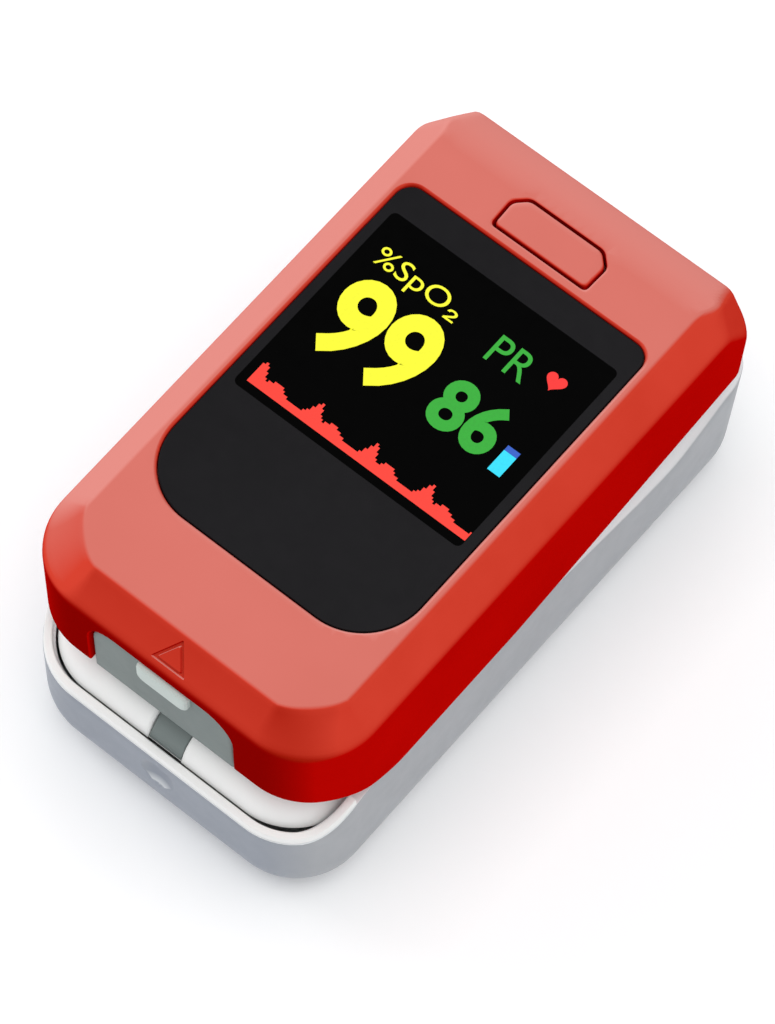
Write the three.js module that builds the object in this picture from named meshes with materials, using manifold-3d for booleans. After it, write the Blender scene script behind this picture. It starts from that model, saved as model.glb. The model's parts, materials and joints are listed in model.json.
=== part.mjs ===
// Fingertip pulse oximeter: a sprung clip of two halves on a hinge pin, with two AAA cells below the finger
// and the display and electronics above it.
// Millimetres. +Z is up, +Y runs from the finger mouth to the hinge end, X is the width.
// The origin is at the middle of the footprint, on the surface that the clip stands on.
import * as THREE from 'three';
import { mergeVertices } from 'three/addons/utils/BufferGeometryUtils.js';
import Module from 'manifold-3d';

const wasm = await Module();
wasm.setup();

// ---- Driving dimensions -------------------------------------------------------------------------------
const WIDTH = 36;
const LENGTH = 65.6;
const HEIGHT = 30;
const GAP = 0.3; // between pieces that touch on the real object
const SLIP = 0.15; // round a piece that is glued or dropped into a recess
const FAR = 60; // beyond every face, for cutters

// Top cover
const COVER_X = WIDTH / 2;
const COVER_FRONT = -31;
const COVER_REAR = 30.8;
const COVER_WALL = 1.5;
const COVER_ROOF = 2;
const CHAMFER_DROP = 2.7;
const CHAMFER_IN = 3.1;
const FRONT_CORNER = 7.5;
const REAR_CORNER = 3.4;
const REAR_LEAN = 0.17;
const SEAM_SIDE = 15.3;
const SEAM_MOUTH = 18.3;
const SEAM_MOUTH_Y = [-28.5, -19.5]; // the seam sweeps up to the mouth here
const SEAM_RISE_FROM = -4;
const SEAM_REAR = 18.4;
const ROOF_FALL_FROM = 24.5; // the roof bends down towards the rear from here
const CORNER_CUT = new THREE.Vector3(0.724, 0.503, 0.473).normalize();
const CORNER_CUT_AT = 38.95; // distance of the rear corner facets from the origin

// Bottom shell
const SHELL_X = 17.5;
const SHELL_FRONT = -32.6;
const SHELL_REAR = SHELL_FRONT + LENGTH;
const SHELL_WALL = 1.2;
const SHELL_FLOOR = 1.8;
const SHELL_ROUND = 2.5; // bottom edge
const SHELL_CORNER = 8;
const SHELL_REAR_CORNER = 4;
const SHELL_REAR_LEAN = 0.16;
const SHELL_TOP_FRONT = 11.9;
const SHELL_TOP = 15;
const NAIL_Z = 8.4;
const RIM_SLOPE = 1.2; // rise of the bevelled rim per millimetre inwards
const SHELL_DIP = [
  [-2, 15], [4, 13.9], [10, 12.8], [16, 11.8], [20.5, 11.5], [24.5, 12.6], [28.5, 14], [34, 14.4],
];

// Clip hinge
const HINGE_Y = 12;
const HINGE_Z = 17.3;
const PIN_R = 1;
const PIN_X = [-15.4, 15.7];
const PIN_HEAD = { r: 1.6, x: -15.9 };
const EAR_R = 2.4;
const EAR_X = [8.9, 10.3];
const SPRING_R = 2.1; // middle of the wire
const SPRING_WIRE = 0.4;
const SPRING_TURNS = 4;
const SPRING_PITCH = 1.1;
const SPRING_X = 3.3;
const SPRING_REACH = 25;

// Frames and pads round the finger
const DECK = [12.8, 13.7];
const LOWER_TOP = 15.2;
const LOWER_TOP_REAR = 14;
const CEILING = [21.7, 22.7];
const UPPER_BOTTOM = 15.9;
const UPPER_BOTTOM_REAR = 19.2;
const FRAME_X = 16.1;
const POCKET_X = 10.7;
const POCKET_Y = [-28.6, 4.2];
const BAY_Y = [5.2, 28];
const PAD_X = 10.4;
const PAD_Y = [-29.1, 3.9];
const CHANNEL_X = 7.8;
const CHANNEL_Y = [-27.4, 1.6];
const CHANNEL_FLOOR = 14.7;
const CHANNEL_ROOF = 20.1;
const ARCH_X = 8.4;
const ARCH_TOP = 26.2;
const ARCH_CORNER = 3.2;
const TAB_Z = [22.8, 25.85];
const NOTCH_X = 2.1;
const OPTICS_Y = -8;

// Window, display, button
const WINDOW = { x: 14.1, y0: -19.3, y1: 20, front: 6.5, rear: 1.7, z0: 28.85, z1: 29.95 };
const DISPLAY = { x: 13.45, y0: -8.6, y1: 18.2, z0: 25.65, z1: 27.7 };
const BOARD = { x: 15.3, y0: -20.5, y1: 21.2, z0: 24.4, z1: 25.4 };
const BUTTON = { x: 5.35, y0: 21.45, y1: 25.4, cut: 1.2, z1: 29.92 };
const FLANGE_Z = [26.8, 27.3];
const BUTTON_TRAVEL = 0.4;
const SWITCH_Y = 23.4;
const SWITCH_TOP = 26.25;
const PLUNGER_Z = [BOARD.z1 + 0.25 + BUTTON_TRAVEL + 0.1, FLANGE_Z[0] - 0.15];

// Cells and battery door
const CELL = { r: 5.25, length: 43.7, nub: 0.8, nubR: 1.9, x: 5.45, z: 7.25 };
const BATTERY_BAY = { x: 11.2, y0: -23.5, y1: 25.8 };
const DOOR = { x: 12.5, tongue: 0.8, y0: -24, z1: 1.3 };

// Screws
const COVER_SCREWS = [[-12.6, -24], [12.6, -24], [-12.6, 24.5], [12.6, 24.5]];
const SHELL_SCREWS = [[-12.4, -26.6], [12.4, -26.6]];
const SCREW = { headR: 1.4, headDrop: 0.9, shankR: 0.65, point: 0.6, slot: 0.32 };
const PILOT_R = 0.8; // the screws cut their thread in these
const CLEAR_R = 0.95;

// ---- Materials ----------------------------------------------------------------------------------------
const paint = (color, roughness, metalness = 0) => new THREE.MeshStandardMaterial({ color, roughness, metalness });
const MATERIAL = {
  cover: () => paint(0xd9584c, 0.35),
  button: () => paint(0xdc6a5e, 0.4),
  window: () => paint(0x222225, 0.08),
  display: () => paint(0x050506, 0.2),
  board: () => paint(0x1d6b3c, 0.5),
  chip: () => paint(0x1a1a1c, 0.5),
  steel: () => paint(0xb9bcc0, 0.3, 1),
  shell: () => paint(0xb4b8c2, 0.4),
  frame: () => paint(0xf1f1ef, 0.45),
  silicone: () => paint(0x7b8483, 0.7),
  tab: () => paint(0xc4d0c9, 0.5),
  clear: () => paint(0xdfe6e6, 0.1),
  cell: () => paint(0x3d5f9e, 0.35),
  ribbon: () => paint(0xb2702a, 0.4),
};

// ---- Shape tools --------------------------------------------------------------------------------------
const ALONG_X = new THREE.Matrix4().makeBasis(
  new THREE.Vector3(0, 1, 0), new THREE.Vector3(0, 0, 1), new THREE.Vector3(1, 0, 0));
const ALONG_Y = new THREE.Matrix4().makeBasis(
  new THREE.Vector3(1, 0, 0), new THREE.Vector3(0, 0, 1), new THREE.Vector3(0, -1, 0));

function solid(geometry) {
  const bare = geometry.index ? geometry.toNonIndexed() : geometry.clone();
  bare.deleteAttribute('normal');
  bare.deleteAttribute('uv');
  const merged = mergeVertices(bare, 1e-4);
  return new wasm.Manifold(new wasm.Mesh({
    numProp: 3,
    vertProperties: merged.attributes.position.array,
    triVerts: new Uint32Array(merged.index.array),
  }));
}

function geometryOf(body) {
  const made = body.getMesh();
  const geometry = new THREE.BufferGeometry();
  geometry.setAttribute('position', new THREE.BufferAttribute(made.vertProperties, 3));
  geometry.setIndex(new THREE.BufferAttribute(made.triVerts, 1));
  geometry.computeVertexNormals();
  return geometry;
}

const join = (...bodies) => bodies.reduce((all, next) => all.add(next));
const cut = (body, ...tools) => tools.reduce((left, tool) => left.subtract(tool), body);

function box(x0, x1, y0, y1, z0, z1) {
  const geometry = new THREE.BoxGeometry(x1 - x0, y1 - y0, z1 - z0);
  return solid(geometry.translate((x0 + x1) / 2, (y0 + y1) / 2, (z0 + z1) / 2));
}

function extrude(shape, depth, curveSegments = 8) {
  return new THREE.ExtrudeGeometry(shape, { depth, bevelEnabled: false, curveSegments });
}

// A plan outline between two heights, a side outline (Y, Z) between two widths,
// and a front outline (X, Z) between two lengths.
const plan = (shape, z0, z1, segments) => solid(extrude(shape, z1 - z0, segments).translate(0, 0, z0));
const side = (shape, x0, x1, segments) =>
  solid(extrude(shape, x1 - x0, segments).applyMatrix4(ALONG_X).translate(x0, 0, 0));
const front = (shape, y0, y1, segments) =>
  solid(extrude(shape, y1 - y0, segments).applyMatrix4(ALONG_Y).translate(0, y1, 0));

function rodZ(x, y, r, z0, z1, sides = 16) {
  const geometry = new THREE.CylinderGeometry(r, r, z1 - z0, sides).rotateX(Math.PI / 2);
  return solid(geometry.translate(x, y, (z0 + z1) / 2));
}

function rodY(x, z, r, y0, y1, sides = 28) {
  return solid(new THREE.CylinderGeometry(r, r, y1 - y0, sides).translate(x, (y0 + y1) / 2, z));
}

function rodX(y, z, r, x0, x1, sides = 20) {
  const geometry = new THREE.CylinderGeometry(r, r, x1 - x0, sides).rotateZ(Math.PI / 2);
  return solid(geometry.translate((x0 + x1) / 2, y, z));
}

function polygon(points) {
  return new THREE.Shape(points.map(([a, b]) => new THREE.Vector2(a, b)));
}

// Points of an arc, both ends included.
function arc(x, y, r, from, to, steps) {
  return Array.from({ length: steps + 1 }, (_, i) => {
    const angle = from + ((to - from) * i) / steps;
    return [x + r * Math.cos(angle), y + r * Math.sin(angle)];
  });
}

// A rectangle about the Y axis with its own radius at the front and the rear corners.
function outline(x, y0, y1, frontR, rearR, steps = 8) {
  const turn = Math.PI / 2;
  return polygon([
    ...arc(x - frontR, y0 + frontR, frontR, -turn, 0, steps),
    ...arc(x - rearR, y1 - rearR, rearR, 0, turn, Math.ceil(steps / 2)),
    ...arc(-x + rearR, y1 - rearR, rearR, turn, 2 * turn, Math.ceil(steps / 2)),
    ...arc(-x + frontR, y0 + frontR, frontR, 2 * turn, 3 * turn, steps),
  ]);
}

// The outline extruded with the same bevel at both ends. The bevel lies inside the outline.
function bevelled(shape, z0, z1, rise, inset, segments) {
  return new THREE.ExtrudeGeometry(shape, {
    depth: z1 - z0 - 2 * rise,
    bevelThickness: rise,
    bevelSize: inset,
    bevelOffset: -inset,
    bevelSegments: segments,
  }).translate(0, 0, z0 + rise);
}

// Leans the end walls of an upright solid inwards below a height. A wall's lean grows from nothing at
// from to the whole rate at to.
function lean(geometry, knee, ends) {
  const points = geometry.attributes.position;
  for (let i = 0; i < points.count; i++) {
    const drop = Math.max(0, knee - points.getZ(i));
    for (const { from, to, rate } of ends) {
      const share = THREE.MathUtils.clamp((points.getY(i) - from) / (to - from), 0, 1);
      points.setY(i, points.getY(i) - Math.sign(to - from) * rate * drop * share);
    }
  }
  return geometry;
}

// The rear wall leans together with the whole of its corners, which start at cornerY.
const wholeRear = (cornerY, rate) => ({ from: cornerY - 1, to: cornerY - 0.01, rate });

// Everything on the outer side of the plane normal . p = distance.
function beyond(normal, distance) {
  const geometry = new THREE.BoxGeometry(2 * FAR, 2 * FAR, FAR).translate(0, 0, FAR / 2 + distance);
  return solid(geometry.applyQuaternion(
    new THREE.Quaternion().setFromUnitVectors(new THREE.Vector3(0, 0, 1), normal)));
}

// A flat strip that follows a line of (Y, Z) points.
function ribbon(points, thickness, x0, x1) {
  const line = new THREE.SplineCurve(points.map(([y, z]) => new THREE.Vector2(y, z)));
  const steps = 6 * (points.length - 1);
  const near = [];
  const far = [];
  for (let i = 0; i <= steps; i++) {
    const at = line.getPoint(i / steps);
    const along = line.getTangent(i / steps);
    const across = new THREE.Vector2(-along.y, along.x).multiplyScalar(thickness / 2);
    near.push(at.clone().add(across));
    far.unshift(at.clone().sub(across));
  }
  return side(new THREE.Shape([...near, ...far]), x0, x1);
}

// A round wire along a path.
function wire(path, radius, steps, sides = 6) {
  const section = polygon(arc(0, 0, radius, 0, 2 * Math.PI, sides).slice(1));
  return solid(new THREE.ExtrudeGeometry(section, { steps, extrudePath: path, curveSegments: 1 }));
}

// A turned piece: (radius, height) points from the axis and back to it.
function turned(points, sides) {
  const profile = points.map(([r, z]) => new THREE.Vector2(r, z));
  return solid(new THREE.LatheGeometry(profile, sides).rotateX(Math.PI / 2));
}

// ---- Outer forms --------------------------------------------------------------------------------------
// The top cover's form, moved inwards by inset, with its roof at the given height.
function coverForm(inset, roof) {
  const half = COVER_X - inset;
  const y0 = COVER_FRONT + inset;
  const y1 = COVER_REAR - inset;
  const rearR = Math.max(REAR_CORNER - inset, CHAMFER_IN + 0.1);
  const knee = roof - CHAMFER_DROP;
  const shape = outline(half, y0, y1, FRONT_CORNER - inset, rearR);
  const walls = bevelled(shape, SEAM_SIDE - 8, roof, CHAMFER_DROP, CHAMFER_IN, 1);
  const body = solid(lean(walls, knee, [wholeRear(y1 - rearR, REAR_LEAN)]));
  const profile = new THREE.Shape();
  profile.moveTo(-FAR, 0);
  profile.lineTo(FAR, 0);
  profile.lineTo(FAR, knee - 1);
  profile.lineTo(y1, knee);
  profile.quadraticCurveTo((ROOF_FALL_FROM + y1) / 2, roof, ROOF_FALL_FROM - inset, roof + 0.01);
  profile.lineTo(-FAR, roof + 0.01);
  const mirrored = CORNER_CUT.clone().multiply(new THREE.Vector3(-1, 1, 1));
  const facet = CORNER_CUT_AT - inset;
  return cut(body.intersect(side(profile, -FAR, FAR)), beyond(CORNER_CUT, facet), beyond(mirrored, facet));
}

function seamHeight(y) {
  const [high, low] = SEAM_MOUTH_Y;
  const share = Math.min(1, Math.max(0, (low - y) / (low - high)));
  const mouth = (SEAM_MOUTH - SEAM_SIDE) * share * share * (3 - 2 * share);
  return SEAM_SIDE + mouth + Math.max(0, y - SEAM_RISE_FROM) * (SEAM_REAR - SEAM_SIDE) / (29.5 - SEAM_RISE_FROM);
}

// The bottom shell's form, moved inwards by inset, from a floor height up to the cover's seam and beyond.
function shellForm(inset, floor, rounding) {
  const knee = 2 * SHELL_TOP - rounding;
  const y0 = SHELL_FRONT + inset;
  const y1 = SHELL_REAR - inset + SHELL_REAR_LEAN * (knee - SHELL_TOP);
  const frontR = SHELL_CORNER - inset;
  const rearR = SHELL_REAR_CORNER - inset;
  const shape = outline(SHELL_X - inset, y0, y1, frontR, rearR);
  const geometry = bevelled(shape, floor, 2 * SHELL_TOP, rounding, rounding, 4);
  return solid(lean(geometry, knee, [wholeRear(y1 - rearR, SHELL_REAR_LEAN)]));
}

// Side outline of everything below the bottom shell's edge, raised by lift.
function belowShellEdge(lift) {
  const shape = new THREE.Shape();
  shape.moveTo(-FAR, -FAR);
  shape.lineTo(-FAR, SHELL_TOP_FRONT + lift);
  shape.lineTo(SHELL_FRONT + 1.8, SHELL_TOP_FRONT + lift);
  shape.bezierCurveTo(-28.5, SHELL_TOP_FRONT + lift, -27, SHELL_TOP + lift, -23, SHELL_TOP + lift);
  shape.lineTo(FAR, SHELL_TOP + lift);
  shape.lineTo(FAR, -FAR);
  return shape;
}

// Cutter for the bevelled rim at the rear of one side of the bottom shell, sign -1 left or +1 right.
function rimCutter(sign) {
  const shape = new THREE.Shape();
  const dip = SHELL_DIP.map(([y, z]) => new THREE.Vector2(y, z));
  shape.moveTo(dip[0].x, dip[0].y);
  shape.splineThru(dip.slice(1));
  shape.lineTo(dip[dip.length - 1].x, FAR);
  shape.lineTo(dip[0].x, FAR);
  const geometry = extrude(shape, 2.5, 3).applyMatrix4(ALONG_X).translate(SHELL_X - 1.9, 0, 0);
  const points = geometry.attributes.position;
  for (let i = 0; i < points.count; i++) {
    points.setZ(i, points.getZ(i) + RIM_SLOPE * (SHELL_X - points.getX(i)));
  }
  const tool = solid(geometry);
  return sign > 0 ? tool : tool.mirror([1, 0, 0]);
}

// ---- Upper half ---------------------------------------------------------------------------------------
function windowShape(grow) {
  const { x, y0, y1, front: frontR, rear } = WINDOW;
  return outline(x + grow, y0 - grow, y1 + grow, frontR + grow, rear + grow);
}

function buttonShape(grow) {
  const { x, y0, y1, cut: corner } = BUTTON;
  const g = grow;
  const shape = new THREE.Shape();
  shape.moveTo(-x + 0.5 - g, y0 + 0.7);
  shape.quadraticCurveTo(-x + 0.3 - g, y0 - g, -x + 1.2, y0 - g);
  shape.lineTo(x - 1.2, y0 - g);
  shape.quadraticCurveTo(x - 0.3 + g, y0 - g, x - 0.5 + g, y0 + 0.7);
  shape.lineTo(x + g, y1 - corner - 0.5);
  shape.quadraticCurveTo(x + g, y1 - corner, x - 0.4 + g, y1 - corner + 0.4);
  shape.lineTo(x - corner + 0.4, y1 - 0.5 + g);
  shape.quadraticCurveTo(x - corner, y1 + g, x - corner - 0.6, y1 + g);
  shape.lineTo(-x + corner + 0.6, y1 + g);
  shape.quadraticCurveTo(-x + corner, y1 + g, -x + corner - 0.4, y1 - 0.5 + g);
  shape.lineTo(-x + 0.4 - g, y1 - corner + 0.4);
  shape.quadraticCurveTo(-x - g, y1 - corner, -x - g, y1 - corner - 0.5);
  return shape;
}

function archShape(grow) {
  const x = ARCH_X + grow;
  const top = ARCH_TOP + grow;
  const r = ARCH_CORNER + grow;
  return polygon([
    [-x, 0],
    [x, 0],
    ...arc(x - r, top - r, r, 0, Math.PI / 2, 6),
    ...arc(-x + r, top - r, r, Math.PI / 2, Math.PI, 6),
  ]);
}

function aboveSeam(lift) {
  const [high, low] = SEAM_MOUTH_Y;
  const steps = Array.from({ length: 11 }, (_, i) => high + (low - high) * i / 10);
  const seam = [-FAR, ...steps, SEAM_RISE_FROM, FAR].map((y) => [y, seamHeight(y) + lift]);
  return polygon([...seam, [FAR, FAR], [-FAR, FAR]]);
}

function topCover() {
  const roof = HEIGHT - COVER_ROOF;
  const hollow = coverForm(COVER_WALL, roof);
  const walls = cut(coverForm(0, HEIGHT), hollow);
  const bosses = COVER_SCREWS.map(([x, y]) => rodZ(x, y, 2.1, CEILING[1] + GAP, roof + 0.4, 14));
  const pilots = COVER_SCREWS.map(([x, y]) => rodZ(x, y, PILOT_R, 0, roof - 0.6, 10));
  const openings = [
    plan(windowShape(SLIP), WINDOW.z0 - SLIP, FAR),
    box(-DISPLAY.x + 0.4, DISPLAY.x - 0.4, -7, 17.4, 20, FAR),
    plan(buttonShape(0.25), 20, FAR, 4),
    front(archShape(0), COVER_FRONT - 3, COVER_FRONT + 4, 6),
  ];
  return cut(join(walls, ...bosses).intersect(side(aboveSeam(0), -FAR, FAR)), ...openings, ...pilots);
}

const displayWindow = () => plan(windowShape(0), WINDOW.z0, WINDOW.z1);

function displayPanel() {
  return plan(outline(DISPLAY.x, DISPLAY.y0, DISPLAY.y1, 0.6, 0.6), DISPLAY.z0, DISPLAY.z1, 3);
}

const displayRibbon = () =>
  ribbon([[DISPLAY.y0 - GAP, 26.5], [-10.2, 26.45], [-11.2, 26.1], [-12.2, 26.05]], 0.2, -5.5, 5.5);
const displaySocket = () => box(-6.4, 6.4, -15.6, -12.5, BOARD.z1 + SLIP, 26.5);

function mainBoard() {
  const tail = box(-9.8, 9.8, BOARD.y1 - 1, 28.2, BOARD.z0, BOARD.z1);
  const plate = plan(outline(BOARD.x, BOARD.y0, BOARD.y1, 1.2, 1.2), BOARD.z0, BOARD.z1, 3);
  return join(plate, tail);
}

function chip(x, y, halfX, halfY, height) {
  const top = BOARD.z0 - SLIP;
  return box(x - halfX, x + halfX, y - halfY, y + halfY, top - height, top);
}

function powerButton() {
  const flange = plan(outline(7.2, BUTTON.y0 - 1.3, BUTTON.y1 + 0.1, 0.8, 0.8, 4), FLANGE_Z[0], FLANGE_Z[1]);
  return join(plan(buttonShape(0), FLANGE_Z[1] - 0.05, BUTTON.z1, 4), flange);
}

function tactSwitch() {
  const body = box(-2.6, 2.6, SWITCH_Y - 2.6, SWITCH_Y + 2.6, BOARD.z1 + SLIP, SWITCH_TOP);
  return cut(body, rodZ(0, SWITCH_Y, 1.3, BOARD.z1 + 0.25, FAR, 18));
}

const switchPlunger = () => rodZ(0, SWITCH_Y, 1.05, ...PLUNGER_Z, 18);

// Side outline of everything above the upper frame's underside.
function aboveUpperFrame() {
  return polygon([[-FAR, UPPER_BOTTOM], [8, UPPER_BOTTOM], [29.5, UPPER_BOTTOM_REAR], [FAR, UPPER_BOTTOM_REAR + 4],
    [FAR, FAR], [-FAR, FAR]]);
}

function upperFrame() {
  const hold = box(-FAR, FAR, -FAR, FAR, UPPER_BOTTOM, CEILING[1]);
  const outer = coverForm(COVER_WALL + GAP, HEIGHT).intersect(hold).intersect(side(aboveUpperFrame(), -FAR, FAR));
  const wells = [-1, 1].map((sign) => {
    const near = sign * (POCKET_X + 1);
    const away = sign * (FRAME_X - 1);
    return box(Math.min(near, away), Math.max(near, away), -26, 27.5, UPPER_BOTTOM_REAR + 0.9, FAR);
  });
  const columns = COVER_SCREWS.map(([x, y]) => rodZ(x, y, 2.6, UPPER_BOTTOM_REAR - 1, CEILING[1], 14));
  const passages = COVER_SCREWS.flatMap(([x, y]) => [
    rodZ(x, y, 1.8, 0, CEILING[0] - 0.4, 14),
    rodZ(x, y, CLEAR_R, 0, FAR, 10),
  ]);
  const pockets = [
    box(-POCKET_X, POCKET_X, -FAR, POCKET_Y[1], 0, CEILING[0]),
    box(-POCKET_X, POCKET_X, BAY_Y[0], BAY_Y[1], 0, CEILING[0]),
    box(-5, 5, OPTICS_Y - 4.5, OPTICS_Y + 4.5, 0, FAR),
    box(-3, 3, 22.5, 27.4, 0, FAR),
    rodX(HINGE_Y, HINGE_Z, PIN_R + 0.06, -FAR, FAR),
    rodX(HINGE_Y, HINGE_Z, PIN_HEAD.r + SLIP, -FAR, PIN_X[0] + 0.3),
  ];
  return cut(join(cut(outer, ...wells), ...columns), ...passages, ...pockets);
}

// The finger channel: a lying oval prism.
function channel() {
  const squash = (CHANNEL_ROOF - CHANNEL_FLOOR) / 2 / CHANNEL_X;
  const middle = (CHANNEL_FLOOR + CHANNEL_ROOF) / 2;
  const ring = arc(0, 0, CHANNEL_X, 0, 2 * Math.PI, 28).slice(1);
  return front(polygon(ring.map(([x, z]) => [x, middle + z * squash])), CHANNEL_Y[0], CHANNEL_Y[1]);
}

function upperPad() {
  const block = box(-PAD_X, PAD_X, PAD_Y[0] + 1, PAD_Y[1], UPPER_BOTTOM - 0.1, CEILING[0] - SLIP);
  const inWall = coverForm(0.3, HEIGHT).intersect(front(archShape(-0.2), -FAR, PAD_Y[0] + 2, 6));
  const lip = inWall.intersect(box(-FAR, FAR, -FAR, FAR, SEAM_MOUTH - 0.3, FAR));
  const roof = CEILING[0] - SLIP;
  const seat = box(-FAR, FAR, COVER_FRONT + COVER_WALL + 0.3, FAR, roof, FAR);
  const optics = rodZ(0, OPTICS_Y, 3.4, 0, FAR, 20);
  return cut(join(block, cut(lip, seat)), channel(), optics);
}

function mouthTab() {
  const shape = new THREE.Shape();
  const [low, high] = TAB_Z;
  shape.moveTo(-2.9, high);
  shape.lineTo(-2.9, low + 1);
  shape.quadraticCurveTo(-2.9, low, -1.9, low);
  shape.lineTo(1.9, low);
  shape.quadraticCurveTo(2.9, low, 2.9, low + 1);
  shape.lineTo(2.9, high);
  const slab = front(shape, -FAR, FAR, 5);
  return slab.intersect(cut(coverForm(-0.35, HEIGHT), coverForm(0.15, HEIGHT), box(-FAR, FAR, 0, FAR, -FAR, FAR)));
}

const emitterBoard = () => box(-4.6, 4.6, OPTICS_Y - 4.1, OPTICS_Y + 4.1, CEILING[0] + 0.4, CEILING[1] + 0.2);
const emitterLed = () => box(-1.6, 1.6, OPTICS_Y - 1.6, OPTICS_Y + 1.6, CEILING[0] - 0.4, CEILING[0] + 0.3);
const emitterWindow = () => rodZ(0, OPTICS_Y, 3.15, CHANNEL_ROOF + 0.05, CEILING[0] - 0.5, 20);
const emitterRibbon = () =>
  ribbon([[-5.6, 23.05], [-4, 23.1], [-2.5, 23.4], [-1, 23.9], [0.8, 24.1]], 0.2, -2.5, 2.5);

// A pan-head screw that points up. Its head hangs below the height seatZ.
function screw(x, y, seatZ, length) {
  const { headR, headDrop, shankR, point } = SCREW;
  const body = turned([[0, -headDrop], [headR - 0.4, -headDrop], [headR, 0.4 - headDrop], [headR, 0],
    [shankR, 0.05], [shankR, length - point], [0, length]], 12);
  const half = SCREW.slot / 2;
  const long = headR - 0.2;
  const floor = 0.4 - headDrop;
  const cross = join(box(-long, long, -half, half, -2, floor), box(-half, half, -long, long, -2, floor));
  return cut(body, cross).translate([x, y, seatZ]);
}

// ---- Lower half ---------------------------------------------------------------------------------------
function doorSlot(grow) {
  const wide = box(-DOOR.x - DOOR.tongue - grow, DOOR.x + DOOR.tongue + grow, DOOR.y0 - grow, FAR, 0.8 - grow,
    DOOR.z1 + grow);
  const open = box(-DOOR.x - grow, DOOR.x + grow, DOOR.y0 - grow, FAR, -1, DOOR.z1 + grow);
  return join(wide, open);
}

function bottomShell() {
  const hollow = shellForm(SHELL_WALL, SHELL_FLOOR, 1.4);
  const { x, y0, y1 } = BATTERY_BAY;
  const inside = shellForm(SHELL_WALL - 0.3, SHELL_FLOOR - 0.3, 1.4);
  const walls = [
    box(-FAR, FAR, y0 - 1, y0, 0, DECK[0] - GAP),
    box(-FAR, FAR, y1, y1 + 1, 0, DECK[0] - GAP),
    box(x, x + 1, y0 - 0.5, y1 + 0.5, 0, 9),
    box(-x - 1, -x, y0 - 0.5, y1 + 0.5, 0, 9),
    ...SHELL_SCREWS.map(([sx, sy]) => rodZ(sx, sy, 2.2, 0, DECK[0] - GAP, 14)),
  ].map((wall) => wall.intersect(inside));
  const passages = SHELL_SCREWS.flatMap(([sx, sy]) => [
    rodZ(sx, sy, 1.7, -1, 1.4, 14),
    rodZ(sx, sy, CLEAR_R, -1, FAR, 10),
  ]);
  const outer = shellForm(0, 0, SHELL_ROUND).intersect(side(belowShellEdge(0), -FAR, FAR, 8));
  const lanyard = [-12.6, -9.4].map((lx) => box(lx, lx + 1.6, SHELL_REAR - 4, FAR, 8, 11));
  const nail = solid(new THREE.SphereGeometry(3.6, 20, 12).translate(0, SHELL_FRONT - 3, NAIL_Z));
  return cut(join(cut(outer, hollow), ...walls), rimCutter(1), rimCutter(-1), ...passages, ...lanyard, nail,
    doorSlot(SLIP), box(-x, x, y0 + 1.5, y1, -1, SHELL_FLOOR + 1));
}

// The white frame round the lower pad: deck, raised front bezel, and the flange on the shell's front edge.
function lowerFrame() {
  const limit = side(polygon([[-FAR, LOWER_TOP], [10, LOWER_TOP], [30, LOWER_TOP_REAR], [FAR, LOWER_TOP_REAR],
    [FAR, DECK[0]], [-FAR, DECK[0]]]), -FAR, FAR);
  const deck = shellForm(SHELL_WALL + 0.2, 5, 1).intersect(limit).intersect(box(-FAR, FAR, -24, FAR, 0, FAR));
  const bezelInset = SHELL_WALL + 0.2;
  const bezelShape = outline(SHELL_X - bezelInset, SHELL_FRONT + bezelInset, 0, SHELL_CORNER - bezelInset, 2);
  const bezel = solid(bevelled(bezelShape, SHELL_TOP_FRONT - 5, LOWER_TOP, 3, 1.8, 1))
    .intersect(box(-FAR, FAR, -FAR, -22, SHELL_TOP_FRONT - 0.1, LOWER_TOP));
  const flangeShape = outline(SHELL_X - 0.25, SHELL_FRONT + 0.25, 0, SHELL_CORNER - 0.25, 1);
  const flange = plan(flangeShape, 0, 20)
    .intersect(cut(side(belowShellEdge(0.5), -FAR, FAR, 8), side(belowShellEdge(0.15), -FAR, FAR, 8)))
    .intersect(box(-FAR, FAR, -FAR, -25.5, 0, SEAM_SIDE - 0.35));
  const ears = [-1, 1].map((sign) => {
    const x0 = Math.min(sign * EAR_X[0], sign * EAR_X[1]);
    const x1 = x0 + EAR_X[1] - EAR_X[0];
    return join(rodX(HINGE_Y, HINGE_Z, EAR_R, x0, x1), box(x0, x1, HINGE_Y - EAR_R, HINGE_Y + EAR_R, 13, HINGE_Z));
  });
  const pockets = [
    box(-POCKET_X, POCKET_X, ...POCKET_Y, DECK[1], FAR),
    box(-POCKET_X - 1.3, POCKET_X + 1.3, ...BAY_Y, DECK[1], FAR),
    box(-5, 5, OPTICS_Y - 4.5, OPTICS_Y + 4.5, 0, FAR),
    box(-NOTCH_X, NOTCH_X, -FAR, -25, SHELL_TOP_FRONT + 0.6, FAR),
    box(-FRAME_X, FRAME_X, -29.6, FAR, 0, DECK[0]),
    box(-2.3, 2.3, 3.5, 6, DECK[1], FAR),
  ];
  const pilots = SHELL_SCREWS.map(([x, y]) => rodZ(x, y, PILOT_R, 0, LOWER_TOP - 0.6, 10));
  const bosses = SHELL_SCREWS.map(([x, y]) => rodZ(x, y, 1.65, DECK[0], LOWER_TOP - 0.2, 14));
  const body = cut(join(deck, bezel, flange), ...pockets);
  return cut(join(body, ...bosses, ...ears), rodX(HINGE_Y, HINGE_Z, PIN_R + 0.06, -FAR, FAR), ...pilots);
}

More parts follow.
